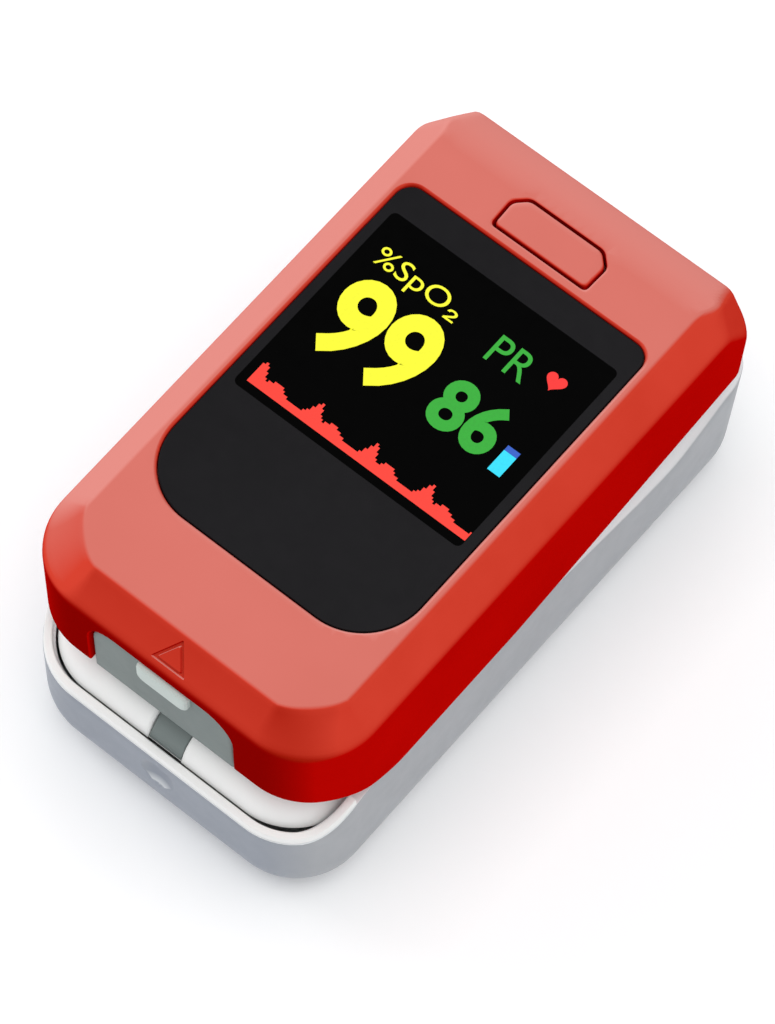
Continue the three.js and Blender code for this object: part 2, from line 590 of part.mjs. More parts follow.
function lowerPad() {
  const block = box(-PAD_X, PAD_X, POCKET_Y[0] + 0.2, PAD_Y[1], DECK[1] + SLIP, LOWER_TOP - 0.05);
  const inner = POCKET_Y[0] + 0.3;
  const tongueShape = polygon([[-31, 12.65], [-30.9, 12.95], [-29.3, 14.55], [inner, 14.55], [inner, DECK[1] + SLIP],
    [POCKET_Y[0] - 0.3, DECK[1] + SLIP], [POCKET_Y[0] - 0.3, 12.65]]);
  const tongue = side(tongueShape, -NOTCH_X + 0.2, NOTCH_X - 0.2);
  const cableWay = box(-2.3, 2.3, OPTICS_Y + 2, FAR, 0, DECK[1] + 0.6);
  return cut(join(block, tongue), channel(), rodZ(0, OPTICS_Y, 3.4, 0, FAR, 20), cableWay);
}

const sensorBoard = () => box(-4.6, 4.6, OPTICS_Y - 4.1, OPTICS_Y + 4.1, DECK[0], DECK[0] + 0.6);
const photodiode = () => box(-1.5, 1.5, OPTICS_Y - 1.5, OPTICS_Y + 1.5, DECK[0] + 0.7, DECK[0] + 1.15);
const sensorWindow = () => rodZ(0, OPTICS_Y, 3.15, DECK[1] + 0.4, CHANNEL_FLOOR, 20);

// One AAA cell. nub is -1 where its positive end faces the front and +1 where it faces the rear.
function cell(sign, nub) {
  const x = sign * CELL.x;
  const far = nub < 0 ? -22.6 + CELL.nub : 24.9 - CELL.nub;
  const y0 = nub < 0 ? far : far - CELL.length;
  const tip = nub < 0 ? [y0 - CELL.nub, y0 + 1] : [y0 + CELL.length - 1, y0 + CELL.length + CELL.nub];
  return join(rodY(x, CELL.z, CELL.r, y0, y0 + CELL.length), rodY(x, CELL.z, CELL.nubR, ...tip, 14));
}

// A cone of wire between a cell's flat end and its contact plate.
function contactSpring(x, base, height) {
  const turns = 3;
  const steps = turns * 12;
  const points = [];
  for (let i = 0; i <= steps; i++) {
    const share = i / steps;
    const r = 3.4 - 1.6 * share;
    const angle = 2 * Math.PI * turns * share;
    points.push(new THREE.Vector3(x + r * Math.cos(angle), base + height * share, CELL.z + r * Math.sin(angle)));
  }
  return wire(new THREE.CatmullRomCurve3(points), 0.25, steps, 5);
}

const contactPlate = (x0, x1, y) => box(x0, x1, y, y + 0.3, 2.6, 11.6);

function hingePin() {
  const head = rodX(HINGE_Y, HINGE_Z, PIN_HEAD.r, PIN_HEAD.x, PIN_X[0] + 0.1);
  return join(rodX(HINGE_Y, HINGE_Z, PIN_R, ...PIN_X), head);
}

// A torsion spring round the pin. Both legs run to the rear and push the halves apart there.
function torsionSpring(sign) {
  const points = [];
  const perTurn = 14;
  const start = -Math.PI / 2;
  const total = SPRING_TURNS * perTurn + perTurn / 2;
  points.push(new THREE.Vector3(SPRING_X, SPRING_REACH, DECK[1] + 0.6));
  points.push(new THREE.Vector3(SPRING_X, (SPRING_REACH + HINGE_Y) / 2, DECK[1] + 0.95));
  for (let i = 0; i <= total; i++) {
    const angle = start - (2 * Math.PI * i) / perTurn;
    points.push(new THREE.Vector3(SPRING_X + (SPRING_PITCH * i) / perTurn,
      HINGE_Y + SPRING_R * Math.cos(angle), HINGE_Z + SPRING_R * Math.sin(angle)));
  }
  const last = points[points.length - 1];
  points.push(new THREE.Vector3(last.x, (SPRING_REACH + HINGE_Y) / 2, (HINGE_Z + SPRING_R + CEILING[0]) / 2 - 0.3));
  points.push(new THREE.Vector3(last.x, SPRING_REACH, CEILING[0] - 0.6));
  const made = wire(new THREE.CatmullRomCurve3(points), SPRING_WIRE, 84);
  return sign > 0 ? made : made.mirror([1, 0, 0]);
}

// The ribbon cable from the main board, round the rear and forward under the pad to the sensor board.
const flexCable = () => ribbon([[19.5, 23.2], [23, 23.15], [25.4, 22], [26.6, 19.5], [26, 16.6], [24, 14.6],
  [21, 14.05], [15, 14], [6, 14], [0, 13.98], [-3.2, 13.95], [-4.6, 13.7]], 0.2, -1.9, 1.9);
const cableSocket = () => box(-3.2, 3.2, 16.2, 19.2, 23.1, BOARD.z0 - SLIP);

// ---- Battery door -------------------------------------------------------------------------------------
function batteryDoor() {
  const plate = shellForm(0, 0, SHELL_ROUND).intersect(doorSlot(0));
  const grips = [0, 1, 2, 3].map((i) => box(-5, 5, 20 + 2 * i, 20.9 + 2 * i, -1, 0.35));
  return cut(plate, ...grips);
}

// ---- Assembly -----------------------------------------------------------------------------------------
const oximeter = new THREE.Group();

function add(name, body, material) {
  const mesh = new THREE.Mesh(geometryOf(body), material());
  mesh.name = name;
  oximeter.add(mesh);
}

add('top_cover', topCover(), MATERIAL.cover);
add('display_window', displayWindow(), MATERIAL.window);
add('display_panel', displayPanel(), MATERIAL.display);
add('display_ribbon', displayRibbon(), MATERIAL.ribbon);
add('display_socket', displaySocket(), MATERIAL.chip);
add('main_board', mainBoard(), MATERIAL.board);
add('controller_chip', chip(-7.5, 9, 3.5, 3.5, 0.8), MATERIAL.chip);
add('amplifier_chip', chip(6.5, 6, 2.4, 2.4, 0.8), MATERIAL.chip);
add('clock_crystal', chip(0.5, 10.5, 1.6, 1.1, 0.7), MATERIAL.steel);
add('cable_socket', cableSocket(), MATERIAL.chip);
add('tact_switch', tactSwitch(), MATERIAL.chip);
add('switch_plunger', switchPlunger(), MATERIAL.chip);
add('power_button', powerButton(), MATERIAL.button);
add('upper_frame', upperFrame(), MATERIAL.frame);
add('upper_finger_pad', upperPad(), MATERIAL.silicone);
add('mouth_tab', mouthTab(), MATERIAL.tab);
add('emitter_board', emitterBoard(), MATERIAL.board);
add('emitter_led', emitterLed(), MATERIAL.clear);
add('emitter_window', emitterWindow(), MATERIAL.clear);
add('emitter_ribbon', emitterRibbon(), MATERIAL.ribbon);
COVER_SCREWS.forEach(([x, y], i) => {
  add(`cover_screw_${i + 1}`, screw(x, y, CEILING[0] - 0.5, 5.4), MATERIAL.steel);
});

add('bottom_shell', bottomShell(), MATERIAL.shell);
add('lower_frame', lowerFrame(), MATERIAL.frame);
add('lower_finger_pad', lowerPad(), MATERIAL.silicone);
add('sensor_board', sensorBoard(), MATERIAL.board);
add('photodiode', photodiode(), MATERIAL.chip);
add('sensor_window', sensorWindow(), MATERIAL.clear);
add('battery_cell_left', cell(-1, -1), MATERIAL.cell);
add('battery_cell_right', cell(1, 1), MATERIAL.cell);
add('contact_spring_left', contactSpring(-CELL.x, 25.05, -2.7), MATERIAL.steel);
add('contact_spring_right', contactSpring(CELL.x, -22.75, 2.7), MATERIAL.steel);
add('contact_plate_left', contactPlate(-9.8, -1.2, 25.4), MATERIAL.steel);
add('contact_plate_right', contactPlate(1.2, 9.8, 25.4), MATERIAL.steel);
add('contact_link_plate', contactPlate(-9.8, 9.8, -23.4), MATERIAL.steel);
add('hinge_pin', hingePin(), MATERIAL.steel);
add('torsion_spring_left', torsionSpring(-1), MATERIAL.steel);
add('torsion_spring_right', torsionSpring(1), MATERIAL.steel);
add('flex_cable', flexCable(), MATERIAL.ribbon);
SHELL_SCREWS.forEach(([x, y], i) => {
  add(`shell_screw_${i + 1}`, screw(x, y, 1.25, 13.1), MATERIAL.steel);
});

add('battery_door', batteryDoor(), MATERIAL.shell);

export default oximeter;
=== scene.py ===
"""Fingertip pulse oximeter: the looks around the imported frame. Lengths in the making are in millimetres."""

import json
import math

import bmesh
import bpy
import numpy as np
from mathutils import Matrix, Vector
from mathutils.geometry import delaunay_2d_cdt


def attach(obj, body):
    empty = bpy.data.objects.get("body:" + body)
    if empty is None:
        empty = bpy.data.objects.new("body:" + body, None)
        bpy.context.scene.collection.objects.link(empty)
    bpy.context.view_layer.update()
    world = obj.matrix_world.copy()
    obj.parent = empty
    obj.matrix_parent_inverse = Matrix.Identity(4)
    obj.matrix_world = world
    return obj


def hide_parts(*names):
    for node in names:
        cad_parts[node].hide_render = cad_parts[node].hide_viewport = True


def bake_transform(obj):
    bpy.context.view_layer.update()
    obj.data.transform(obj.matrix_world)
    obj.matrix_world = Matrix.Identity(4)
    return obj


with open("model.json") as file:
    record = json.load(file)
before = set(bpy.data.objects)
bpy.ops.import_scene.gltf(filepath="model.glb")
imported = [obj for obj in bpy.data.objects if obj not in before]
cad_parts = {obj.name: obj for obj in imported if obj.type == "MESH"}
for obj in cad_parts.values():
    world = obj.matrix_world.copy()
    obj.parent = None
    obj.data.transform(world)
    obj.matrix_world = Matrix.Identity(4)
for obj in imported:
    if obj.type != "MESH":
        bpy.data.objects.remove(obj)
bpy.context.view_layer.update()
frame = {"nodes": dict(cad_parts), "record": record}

MM = 0.001
TAU = 2 * math.pi

# ---- Dimensions of the object, millimetres ----
COVER = {"x": 18.0, "y0": -31.0, "y1": 31.1, "front_r": 7.5, "rear_r": 3.4}
COVER_WALL = 1.5
ROOF = 30.0
INNER_ROOF = 28.0
CHAMFER_DROP = 2.7
CHAMFER_IN = 3.1
TOP_FILLET = 0.28
KNEE_FILLET = 0.5
FRONT_EXTRA = 0.4  # the front chamfer is this much deeper than the others
CORNER_EXTRA = 0.75  # and it is deeper still round the front corners
REAR_LEAN = 0.13  # inwards, for each millimetre below the knee
REAR_TIGHTER = 1.7  # the rear corners' radius is this much smaller on the walls than on the roof
SEAM_SIDE = 15.3
SEAM_MOUTH = 18.3
SEAM_REAR = 18.4
FALL_FROM = 24.5
FACET = np.array([0.724, 0.503, 0.473]) / np.linalg.norm([0.724, 0.503, 0.473])
FACET_AT = 39.2  # from the origin, along the facet's direction

SHELL = {"x": 17.5, "y0": -32.6, "y1": 33.0, "front_r": 7.2, "rear_r": 4.0}
SHELL_WALL = 1.2
SHELL_FLOOR = 1.8
SHELL_ROUND = (3.8, 5.4)  # of the lower edge: inwards, upwards
SHELL_ROUND_REAR = 2.5
SHELL_ROUND_FADE = 0.3  # by this share the rounding of the sides shrinks towards the rear
SHELL_LEAN = 0.16  # of its rear wall, for each millimetre below the top
SHELL_TOP = 15.0
SHELL_TOP_FRONT = 11.4
NAIL_Z = 8.4
NAIL_R = 3.6
BAY_HALF = 11.2  # of the battery bay's width inside
BAY_REAR = 25.8
RIM_SLOPE = 1.2
# (y, height) of the shell's edge along its sides, at the outside
DIP = [(-2, 15), (4, 13.9), (10, 12.8), (16, 11.8), (20.5, 11.5), (24.5, 12.6), (28.5, 14), (34, 14.4)]

ARCH_X = 8.35
ARCH_MIDDLE = -0.45
ARCH_TOP = 26.2
ARCH_R = 3.2
WINDOW = {"x": 14.1, "y0": -19.05, "y1": 20.0, "front_r": 6.5, "rear_r": 1.7}
WINDOW_TOP = 29.93
BUTTON = {"x": 5.35, "y0": 21.45, "y1": 25.4, "cut": 1.2}
SCREEN = {"x": 13.05, "y0": -6.0, "y1": 16.7, "front_r": 0.6, "rear_r": 0.6}
SCREEN_PROUD = 0.012  # of the window
INLAY_PROUD = 0.024
TEXT_THICK = 0.08  # from its middle to each face
TEXT_MIDDLE = 0.055  # below the window's top


# ---- Meshes ----
SHARP = 35.0  # an edge is shaded sharp from this angle, in degrees
GRID_CLEAR = 0.3  # of the spacing: a filling's inner points keep this far off its edges


class Form:
    """A mesh in the making: points in millimetres, and faces that face outwards."""

    def __init__(self):
        self.points = []
        self.faces = []

    def ring(self, points):
        start = len(self.points)
        self.points.extend([float(c) for c in p] for p in points)
        return list(range(start, len(self.points)))

    def skin(self, rings, turned=False):
        for low, high in zip(rings, rings[1:]):
            for i in range(len(low)):
                j = (i + 1) % len(low)
                face = [low[i], low[j], high[j], high[i]]
                self.faces.append(face[::-1] if turned else face)

    def fill(self, outer, holes, spacing, up=True):
        """Triangles between an outer loop and its holes, in plan, with a grid of points inside."""
        loops = [np.array([self.points[i][:2] for i in loop]) for loop in [outer, *holes]]
        height = self.points[outer[0]][2]
        low, high = loops[0].min(0), loops[0].max(0)
        xs = np.arange(low[0] + spacing / 2, high[0], spacing)
        ys = np.arange(low[1] + spacing / 2, high[1], spacing)
        grid = np.array([(x, y) for x in xs for y in ys])
        keep = within(grid, loops)
        edge = np.concatenate(loops)
        near = np.sqrt(((grid[:, None, :] - edge[None, :, :]) ** 2).sum(2)).min(1)
        grid = grid[keep & (near > GRID_CLEAR * spacing)]
        ids = [i for loop in [outer, *holes] for i in loop]
        ids += self.ring([(x, y, height) for x, y in grid])
        edges = []
        start = 0
        for loop in loops:
            count = len(loop)
            edges += [(start + i, start + (i + 1) % count) for i in range(count)]
            start += count
        flat = [Vector(self.points[i][:2]) for i in ids]
        out, _, tris, origins, _, _ = delaunay_2d_cdt(flat, edges, [], 0, 1e-7)
        names = [ids[o[0]] if o else self.ring([(*p, height)])[0] for p, o in zip(out, origins)]
        middles = np.array([sum((out[i] for i in t), Vector((0, 0))) / 3 for t in tris])
        for tri, inside in zip(tris, within(middles, loops)):
            if inside:
                face = [names[i] for i in tri]
                self.faces.append(face if up else face[::-1])

    def warp(self, change, indices):
        """Moves some of the points by a function of their array."""
        indices = list(indices)
        moved = change(np.array([self.points[i] for i in indices]))
        for i, p in zip(indices, moved):
            self.points[i] = list(p)

    def face_out(self):
        """Turns the faces of a closed form round where they face inwards, from its signed volume."""
        volume = 0.0
        pts = np.array(self.points)
        for face in self.faces:
            for i in range(1, len(face) - 1):
                a, b, c = pts[face[0]], pts[face[i]], pts[face[i + 1]]
                volume += a @ np.cross(b, c)
        if volume < 0:
            self.faces = [f[::-1] for f in self.faces]
        return self


def within(points, loops):
    """Whether each point is inside the first loop and outside the others (even-odd rule)."""
    crossings = np.zeros(len(points), int)
    for loop in loops:
        a, b = loop, np.roll(loop, -1, axis=0)
        x, y = points[:, 0:1], points[:, 1:2]
        spans = (a[None, :, 1] > y) != (b[None, :, 1] > y)
        rise = np.where(b[:, 1] == a[:, 1], 1e-12, b[:, 1] - a[:, 1])
        at = a[None, :, 0] + (y - a[None, :, 1]) * (b[:, 0] - a[:, 0])[None] / rise[None]
        crossings += (spans & (x < at)).sum(1)
    return crossings % 2 == 1


def add_object(name, data):
    obj = bpy.data.objects.new(name, data)
    bpy.context.scene.collection.objects.link(obj)
    return obj


def form_object(name, form):
    """The form as an object of the scene, in metres."""
    mesh = bpy.data.meshes.new(name)
    mesh.from_pydata([[c * MM for c in p] for p in form.points], [], form.faces)
    mesh.validate()
    return add_object(name, mesh)


def piece(name, form, body, slot, nodes=(), material=None, sharp=SHARP):
    """Makes a finished piece of a form."""
    obj = form_object(name, form)
    finish_piece(obj, body, slot, nodes, material, sharp)
    return obj


def finish_piece(obj, body, slot, nodes=(), material=None, sharp=SHARP):
    """Rides the object on its body and hides the nodes that it stands for. The slot gives its material."""
    shade(obj.data, sharp)
    set_material(obj, material or PAINT[slot])
    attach(obj, body)
    if nodes:
        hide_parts(*nodes)


def set_material(obj, material):
    obj.data.materials.clear()
    obj.data.materials.append(material)


def shade(mesh, sharp=SHARP):
    mesh.shade_smooth()
    mesh.set_sharp_from_angle(angle=math.radians(sharp))


def cut(obj, forms):
    """Cuts the forms from obj, one after another, and keeps the result as obj's mesh."""
    for form in forms:
        other = form_object("tool", form)
        modifier = obj.modifiers.new("cut", "BOOLEAN")
        modifier.operation = "DIFFERENCE"
        modifier.solver = "EXACT"
        modifier.object = other
        bpy.context.view_layer.update()
        graph = bpy.context.evaluated_depsgraph_get()
        mesh = bpy.data.meshes.new_from_object(obj.evaluated_get(graph))
        old = obj.data
        obj.modifiers.clear()
        obj.data = mesh
        mesh.name = obj.name
        bpy.data.meshes.remove(old)
        spare = other.data
        bpy.data.objects.remove(other)
        bpy.data.meshes.remove(spare)
    shade(obj.data)


def weighted(obj):
    modifier = obj.modifiers.new("normals", "WEIGHTED_NORMAL")
    modifier.keep_sharp = True
    modifier.weight = 80


def smooth_min(a, b, k):
    near = np.clip(k - np.abs(a - b), 0, None) / k
    return np.minimum(a, b) - near * near * k / 4


def smooth_step(a, b, x):
    t = np.clip((x - a) / (b - a), 0, 1)
    return t * t * (3 - 2 * t)


def curve(p0, p1, p2, steps):
    """Points of a quadratic curve, both ends included."""
    return [tuple((1 - t) ** 2 * a + 2 * t * (1 - t) * b + t * t * c for a, b, c in zip(p0, p1, p2))
            for t in np.linspace(0, 1, steps + 1)]


def through(points, x):
    """A smooth line through (x, z) points, read at x."""
    pts = np.array([points[0], *points, points[-1]], float)
    xs, zs = [], []
    for p0, p1, p2, p3 in zip(pts, pts[1:], pts[2:], pts[3:]):
        for t in np.linspace(0, 1, 12, endpoint=False):
            at = 0.5 * (2 * p1 + (p2 - p0) * t + (2 * p0 - 5 * p1 + 4 * p2 - p3) * t**2
                        + (3 * p1 - p0 - 3 * p2 + p3) * t**3)
            xs.append(at[0])
            zs.append(at[1])
    return np.interp(x, xs, zs)


def outline(x, y0, y1, front_r, rear_r, mouth=50, front=20, side=90, rear=14, back=60):
    """Points and outward directions round a plan form, counter-clockwise from the front edge's left end."""
    points, normals = [], []

    def line(a, b, count, normal, bias=1.0, flip=False):
        for i in range(count):
            t = i / count
            t = t**bias if flip else 1 - (1 - t)**bias
            points.append((a[0] + (b[0] - a[0]) * t, a[1] + (b[1] - a[1]) * t))
            normals.append(normal)

    def arc(cx, cy, r, start, count):
        for i in range(count):
            angle = start + math.pi / 2 * i / count
            normals.append((math.cos(angle), math.sin(angle)))
            points.append((cx + r * normals[-1][0], cy + r * normals[-1][1]))

    line((-x + front_r, y0), (x - front_r, y0), mouth, (0, -1))
    arc(x - front_r, y0 + front_r, front_r, -math.pi / 2, front)
    line((x, y0 + front_r), (x, y1 - rear_r), side, (1, 0), 1.5)
    arc(x - rear_r, y1 - rear_r, rear_r, 0, rear)
    line((x - rear_r, y1), (-x + rear_r, y1), back, (0, 1))
    arc(-x + rear_r, y1 - rear_r, rear_r, math.pi / 2, rear)
    line((-x, y1 - rear_r), (-x, y0 + front_r), side, (-1, 0), 1.5, True)
    arc(-x + front_r, y0 + front_r, front_r, math.pi, front)
    return np.array(points), np.array(normals)


def loft(sections):
    """A closed solid through sections that have the same number of points."""
    form = Form()
    rings = [form.ring(section) for section in sections]
    form.skin(rings)
    form.faces += [rings[0][::-1], rings[-1]]
    return form.face_out()


def plate(loops, spacing):
    """A closed solid through plan loops of (points, height), from below, with finely filled ends."""
    form = Form()
    rings = [form.ring(with_height(points, z)) for points, z in loops]
    form.skin(rings)
    form.fill(rings[0], [], spacing, up=False)
    form.fill(rings[-1], [], spacing)
    return form


def with_height(points, z):
    return [(x, y, z) for x, y in points]


def box_form(x0, x1, y0, y1, z0, z1):
    return loft([[(x0, y0, z), (x1, y0, z), (x1, y1, z), (x0, y1, z)] for z in (z0, z1)])


def round_form(x, y, z0, z1, r):
    """An upright cylinder."""
    angles = np.linspace(0, TAU, 32, endpoint=False)
    return loft([[(x + r * math.cos(a), y + r * math.sin(a), z) for a in angles] for z in (z0, z1)])


# ---- Materials ----
def srgb(r, g, b):
    def linear(c):
        c /= 255
        return c / 12.92 if c <= 0.04045 else ((c + 0.055) / 1.055) ** 2.4
    return (linear(r), linear(g), linear(b), 1.0)


class Paint:
    """A material with its nodes: the shader, and object coordinates for the textures."""

    def __init__(self, name, color, roughness, metallic=0.0, specular=0.5):
        self.material = bpy.data.materials.new(name)
        self.material.use_nodes = True
        self.tree = self.material.node_tree
        self.shader = self.tree.nodes["Principled BSDF"]
        self.shader.inputs["Base Color"].default_value = color
        self.shader.inputs["Roughness"].default_value = roughness
        self.shader.inputs["Metallic"].default_value = metallic
        self.shader.inputs["Specular IOR Level"].default_value = specular
        self.place = self.node("ShaderNodeTexCoord")

    def node(self, kind, **values):
        made = self.tree.nodes.new(kind)
        for key, value in values.items():
            setattr(made, key, value)
        return made

    def link(self, a, b):
        self.tree.links.new(a, b)

    def noise(self, scale, detail=3.0):
        made = self.node("ShaderNodeTexNoise")
        made.inputs["Scale"].default_value = scale
        made.inputs["Detail"].default_value = detail
        made.inputs["Roughness"].default_value = 0.55
        self.link(self.place.outputs["Object"], made.inputs["Vector"])
        return made.outputs["Fac"]

    def span(self, value, low, high, from_low=0.3, from_high=0.7):
        made = self.node("ShaderNodeMapRange")
        made.inputs["From Min"].default_value = from_low
        made.inputs["From Max"].default_value = from_high
        made.inputs["To Min"].default_value = low
        made.inputs["To Max"].default_value = high
        self.link(value, made.inputs["Value"])
        return made.outputs["Result"]

    def mix(self, factor, a, b):
        """Mixes colours or colour outputs. The node's colours are its inputs 6 and 7 and its output 2."""
        made = self.node("ShaderNodeMix", data_type="RGBA")
        self.link(factor, made.inputs[0])
        for socket, value in ((made.inputs[6], a), (made.inputs[7], b)):
            if isinstance(value, tuple):
                socket.default_value = value
            else:
                self.link(value, socket)
        return made.outputs[2]

    def base(self, color):
        self.link(color, self.shader.inputs["Base Color"])

    def drift(self, scale, a, b):
        """A colour that drifts between two close tones."""
        return self.mix(self.span(self.noise(scale), 0, 1), a, b)

    def towards(self, direction, low, high, a, b):
        """Goes from a to b as the surface turns to a direction of the piece itself."""
        made = self.node("ShaderNodeVectorMath", operation="DOT_PRODUCT")
        made.inputs[1].default_value = direction
        self.link(self.place.outputs["Normal"], made.inputs[0])
        return self.mix(self.span(made.outputs["Value"], 0, 1, low, high), a, b)

    def cells(self, scale, feature):
        """A cell pattern's distances."""
        made = self.node("ShaderNodeTexVoronoi", feature=feature)
        made.inputs["Scale"].default_value = scale
        self.link(self.place.outputs["Object"], made.inputs["Vector"])
        return made.outputs["Distance"]

    def gloss(self, scale, low, high):
        self.link(self.span(self.noise(scale), low, high), self.shader.inputs["Roughness"])

    def grain(self, scale, depth):
        """Fine bumps of the mould or the surface. depth is in millimetres."""
        made = self.node("ShaderNodeBump")
        made.inputs["Strength"].default_value = 1.0
        made.inputs["Distance"].default_value = depth * MM
        self.link(self.noise(scale, detail=2.0), made.inputs["Height"])
        self.link(made.outputs["Normal"], self.shader.inputs["Normal"])


def scaled(color, factor):
    return (*(min(1.0, c * factor) for c in color[:3]), 1.0)


def cover_paint(name):
    """Satin red plastic with light and shade painted by the way each face turns: deep red walls, a painted
    pale sheen on the roof and a lesser one on the slopes, painted shade on the front corners and on the
    mouth's side, and a painted sheen on faces that turn to the back left.
    """
    paint = Paint(name, srgb(200, 40, 30), 0.42, specular=0.0)
    wall = paint.drift(90, (0.50, 0.0010, 0.0004, 1), (0.54, 0.0016, 0.0006, 1))
    # painted sheen on the slopes, lesser than the roof's
    slope = paint.drift(120, (0.62, 0.046, 0.024, 1), (0.66, 0.054, 0.030, 1))
    # painted pale sheen on the roof, as light from above would leave
    roof = paint.drift(60, (0.62, 0.158, 0.126, 1), (0.65, 0.170, 0.138, 1))
    # painted shade on the front corners
    painted_shade_front_corner = (0.36, 0.010, 0.003, 1)
    # painted shade on the mouth's side
    painted_shade_mouth_side = (0.27, 0.0008, 0.0003, 1)
    # painted sheen on faces that turn to the back left
    painted_sheen_back_left = (0.74, 0.27, 0.235, 1)
    up = (-0.2, 0.25, 0.947)
    # Each step mixes in a painted lit or shaded tone by the direction the face turns to.
    color = paint.towards(up, 0.1, 0.6, wall, slope)
    color = paint.towards(up, 0.66, 0.9, color, roof)
    color = paint.towards((0.35, -0.75, 0.56), 0.85, 1.0, color, painted_shade_front_corner)
    color = paint.towards((0, -1, 0), 0.72, 1.0, color, painted_shade_mouth_side)
    color = paint.towards((-0.6, 0.5, 0.62), 0.66, 0.9, color, painted_sheen_back_left)
    paint.base(color)
    paint.gloss(500, 0.38, 0.46)
    paint.grain(5200, 0.004)
    return paint.material


def plastic(name, color, roughness, spread=0.04, grain=(4000, 0.004), specular=0.4):
    paint = Paint(name, color, roughness, specular=specular)
    paint.base(paint.drift(150, scaled(color, 1 - spread), scaled(color, 1 + spread)))
    paint.gloss(700, roughness - 0.04, roughness + 0.05)
    paint.grain(*grain)
    return paint.material


def shell_paint(name):
    """Pale grey plastic with light and shade painted by the way each face turns: painted shade, a little
    bluer, on the mouth's side, and a painted highlight on faces that turn upwards.
    """
    paint = Paint(name, srgb(180, 184, 190), 0.42, specular=0.3)
    side = paint.drift(150, srgb(164, 167, 171), srgb(171, 174, 178))
    # painted shade, a little bluer, on faces towards the mouth's side
    front = paint.drift(110, srgb(143, 149, 160), srgb(149, 155, 166))
    color = paint.towards((-0.5, -0.866, 0), 0.1, 0.75, side, front)
    # painted highlight on faces that turn upwards
    paint.base(paint.towards((0, 0, 1), 0.3, 0.6, color, srgb(236, 238, 239)))
    paint.gloss(700, 0.38, 0.47)
    paint.grain(4000, 0.004)
    return paint.material


def lit(name, color):
    """A lit area of the display: small cells of light under the glossy window."""
    paint = Paint(name, (0.0, 0.0, 0.0, 1.0), 0.1, specular=0.3)
    share = paint.span(paint.cells(4500, "F1"), 0, 1, 0.2, 0.9)
    glow = paint.mix(share, color, scaled(color, 0.92))
    paint.link(glow, paint.shader.inputs["Emission Color"])
    paint.shader.inputs["Emission Strength"].default_value = 1.0
    return paint.material


def metal(name, color, roughness):
    paint = Paint(name, color, roughness, metallic=1.0)
    paint.base(paint.drift(900, scaled(color, 0.9), scaled(color, 1.05)))
    paint.gloss(1800, roughness - 0.06, roughness + 0.08)
    paint.grain(3600, 0.003)
    return paint.material


def board_paint(name):
    paint = Paint(name, srgb(24, 92, 52), 0.4)
    traces = paint.span(paint.cells(420, "DISTANCE_TO_EDGE"), 1, 0, 0.03, 0.06)
    paint.base(paint.mix(traces, srgb(22, 88, 50), srgb(38, 120, 66)))
    paint.gloss(900, 0.32, 0.45)
    paint.grain(2600, 0.004)
    return paint.material


def cell_paint(name):
    """A printed sleeve with plain bands across it."""
    paint = Paint(name, srgb(52, 84, 150), 0.3, metallic=0.2)
    split = paint.node("ShaderNodeSeparateXYZ")
    paint.link(paint.place.outputs["Object"], split.inputs[0])
    wave = paint.node("ShaderNodeMath", operation="SINE")
    scale = paint.node("ShaderNodeMath", operation="MULTIPLY")
    scale.inputs[1].default_value = 290
    paint.link(split.outputs["Y"], scale.inputs[0])
    paint.link(scale.outputs[0], wave.inputs[0])
    band = paint.span(wave.outputs[0], 0, 1, 0.55, 0.6)
    paint.base(paint.mix(band, srgb(40, 74, 146), srgb(196, 198, 204)))
    paint.gloss(600, 0.22, 0.34)
    paint.grain(1500, 0.003)
    return paint.material


def clear_paint(name):
    paint = Paint(name, srgb(222, 230, 232), 0.1)
    paint.shader.inputs["Transmission Weight"].default_value = 0.55
    paint.base(paint.drift(500, srgb(214, 224, 226), srgb(230, 238, 240)))
    paint.gloss(900, 0.06, 0.14)
    paint.grain(1800, 0.002)
    return paint.material


PAINT = {
    "cover_plastic": cover_paint("cover_plastic"),
    "button_plastic": cover_paint("button_plastic"),
    "window_plastic": plastic("window_plastic", srgb(25, 24, 26), 0.2, 0.08, (1200, 0.0003), 0.04),
    "display_panel": plastic("display_glass", (0.0004, 0.0004, 0.0004, 1), 0.1, 0.2, (1500, 0.0004), 0.01),
    "circuit_board": board_paint("circuit_board"),
    "black_plastic": plastic("black_plastic", srgb(30, 30, 32), 0.5, 0.1),
    "steel": metal("steel", (0.62, 0.62, 0.63, 1), 0.28),
    "shell_plastic": shell_paint("shell_plastic"),
    "frame_plastic": plastic("frame_plastic", srgb(248, 248, 246), 0.45, 0.008),
    "silicone": plastic("silicone", srgb(122, 131, 129), 0.6, 0.05, (2400, 0.012), 0.35),
    "tab_plastic": plastic("tab_plastic", srgb(196, 207, 202), 0.4, 0.02),
    "clear_plastic": clear_paint("clear_plastic"),
    "cell_sleeve": cell_paint("cell_sleeve"),
    "ribbon_film": plastic("ribbon_film", srgb(186, 112, 40), 0.3, 0.08),
}


# ---- CAD nodes that stay ----
def dress_nodes():
    """Every CAD node gets its slot's material, soft edges where it has corners, and smooth shading."""
    slots = {s["node"]: s["material_slot"] for s in frame["record"]["subparts"]}
    for name, obj in frame["nodes"].items():
        set_material(obj, PAINT[slots[name]])
        shade(obj.data)
        if "spring" in name or "ribbon" in name or "cable" in name:
            continue
        flat = obj.modifiers.new("flat", "DECIMATE")
        flat.decimate_type = "DISSOLVE"
        flat.angle_limit = math.radians(1)
        bevel = obj.modifiers.new("edges", "BEVEL")
        bevel.width = 0.12 * MM
        bevel.segments = 2
        bevel.limit_method = "ANGLE"
        bevel.angle_limit = math.radians(40)
        bevel.harden_normals = False
        weighted(obj)


